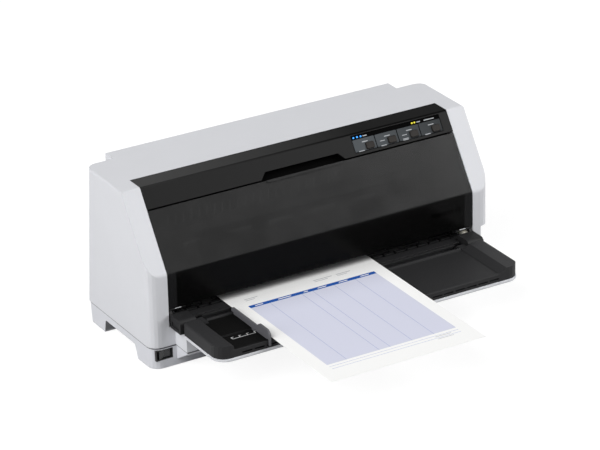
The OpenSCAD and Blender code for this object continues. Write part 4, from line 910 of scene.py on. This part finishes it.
def aim(yaw, pitch, roll):
    """Rotation of a camera that looks along yaw and down by pitch, in degrees."""
    yaw, pitch, roll = (math.radians(a) for a in (yaw, pitch, roll))
    ahead = Vector((math.sin(yaw) * math.cos(pitch), math.cos(yaw) * math.cos(pitch),
                    -math.sin(pitch)))
    level = Vector((math.cos(yaw), -math.sin(yaw), 0.0))
    upright = level.cross(ahead)
    right = math.cos(roll) * level + math.sin(roll) * upright
    up = math.cos(roll) * upright - math.sin(roll) * level
    return Matrix((right, up, -ahead)).transposed()


def softbox(name, bearing, height, power):
    """A large square area lamp turned to the object: broad, even light with soft shadows."""
    turn, rise = math.radians(bearing), math.radians(height)
    away = Vector((math.sin(turn) * math.cos(rise), -math.cos(turn) * math.cos(rise),
                   math.sin(rise)))
    data = bpy.data.lights.new(name, "AREA")
    data.shape = "SQUARE"
    data.size = SOFTBOX_SIZE
    data.energy = power
    lamp = bpy.data.objects.new(name, data)
    lamp.location = LOOK_AT + away * SOFTBOX_AWAY
    lamp.rotation_euler = (LOOK_AT - lamp.location).to_track_quat("-Z", "Y").to_euler()
    bpy.context.scene.collection.objects.link(lamp)


def seen_rays(tree):
    """1 for rays from the camera, gloss and clear pieces, 0 for what lights matt surfaces."""
    path = add(tree, "LightPath").outputs
    seen = path["Is Camera Ray"]
    for ray in ("Is Glossy Ray", "Is Transmission Ray"):
        seen = add(tree, "Math", {0: seen, 1: path[ray]}, operation="MAXIMUM").outputs["Value"]
    return seen


def pale_world():
    """White behind the object and in its reflections; the softboxes alone light matt surfaces."""
    world = bpy.data.worlds.new("studio")
    bpy.context.scene.world = world
    world.use_nodes = True
    tree = world.node_tree
    tree.nodes.clear()
    back = add(tree, "Background", {"Color": opaque(WHITE), "Strength": seen_rays(tree)})
    tree.links.new(back.outputs["Background"], add(tree, "OutputWorld").inputs["Surface"])


def floor_material(colour):
    """Matt white studio floor that keeps a soft shadow and throws little light back up."""
    material, tree, out = begin("studio_floor")
    seen = seen_rays(tree)
    fine = speckle(tree, 300 * MM)
    paint = add(tree, "BsdfDiffuse", {
        "Color": layered(tree, shade(colour), (seen, opaque(FLOOR_SEEN))),
        "Roughness": wavering(tree, fine, 0.95, 0.05)})
    glow = add(tree, "Emission", {"Color": opaque(WHITE), "Strength": FLOOR_GLOW})
    both = add(tree, "MixShader", {0: overlap(tree, seen, FLOOR_GLOW_SHARE),
                                   1: paint.outputs["BSDF"], 2: glow.outputs["Emission"]})
    tree.links.new(both.outputs["Shader"], out.inputs["Surface"])
    return material


class MakeStage(bpy.types.Operator):
    """Places the camera, the floor and the soft studio light"""
    bl_idname = "printer.make_stage"
    bl_label = "Stage"

    def execute(self, context):
        look = context.scene.printer_stage
        data = bpy.data.cameras.new("camera")
        data.sensor_width = SENSOR
        data.lens = LENS
        data.clip_end = SIGHT
        camera = bpy.data.objects.new("camera", data)
        camera.matrix_world = (Matrix.Translation(CAMERA_PLACE)
                               @ aim(CAMERA_YAW, CAMERA_PITCH, CAMERA_ROLL).to_4x4())
        context.scene.collection.objects.link(camera)
        context.scene.camera = camera

        mesh = bpy.data.meshes.new("floor")
        made = bmesh.new()
        bmesh.ops.create_grid(made, x_segments=1, y_segments=1, size=FLOOR_REACH)
        made.to_mesh(mesh)
        made.free()
        mesh.materials.append(floor_material(look.floor))
        floor = bpy.data.objects.new("floor", mesh)
        context.scene.collection.objects.link(floor)

        for name, bearing, height, power in SOFTBOXES:
            softbox(name, bearing, height, power * look.light)
        pale_world()
        context.scene.view_settings.view_transform = "Standard"
        return {"FINISHED"}


# ---- panel, registration and run ----

PIECES = (FinishCasing, FinishControlStrip, FinishFrontCover, FinishTray, MakeSheet, FinishFeed,
          FinishCarriage, FinishElectrics, MakeStage)
LOOKS = {"printer_casing": CasingLook, "printer_dark": DarkLook, "printer_sheet": SheetLook,
         "printer_stage": StageLook}


class PrinterPanel(bpy.types.Panel):
    """Lists the printer's pieces and their settings"""
    bl_idname = "VIEW3D_PT_printer"
    bl_label = "Printer"
    bl_space_type = "VIEW_3D"
    bl_region_type = "UI"
    bl_category = "Printer"

    def draw(self, context):
        for name, look in LOOKS.items():
            box = self.layout.box()
            for setting in look.__annotations__:
                box.prop(getattr(context.scene, name), setting)
        for operator in PIECES:
            self.layout.operator(operator.bl_idname)


def register():
    for look in LOOKS.values():
        bpy.utils.register_class(look)
    for operator in PIECES:
        bpy.utils.register_class(operator)
    bpy.utils.register_class(PrinterPanel)
    for name, look in LOOKS.items():
        setattr(bpy.types.Scene, name, bpy.props.PointerProperty(type=look))


def unregister():
    for name in LOOKS:
        delattr(bpy.types.Scene, name)
    bpy.utils.unregister_class(PrinterPanel)
    for operator in reversed(PIECES):
        bpy.utils.unregister_class(operator)
    for look in reversed(list(LOOKS.values())):
        bpy.utils.unregister_class(look)


def main():
    register()
    for operator in PIECES:
        group, action = operator.bl_idname.split(".")
        getattr(getattr(bpy.ops, group), action)()


if __name__ == "__main__":
    main()
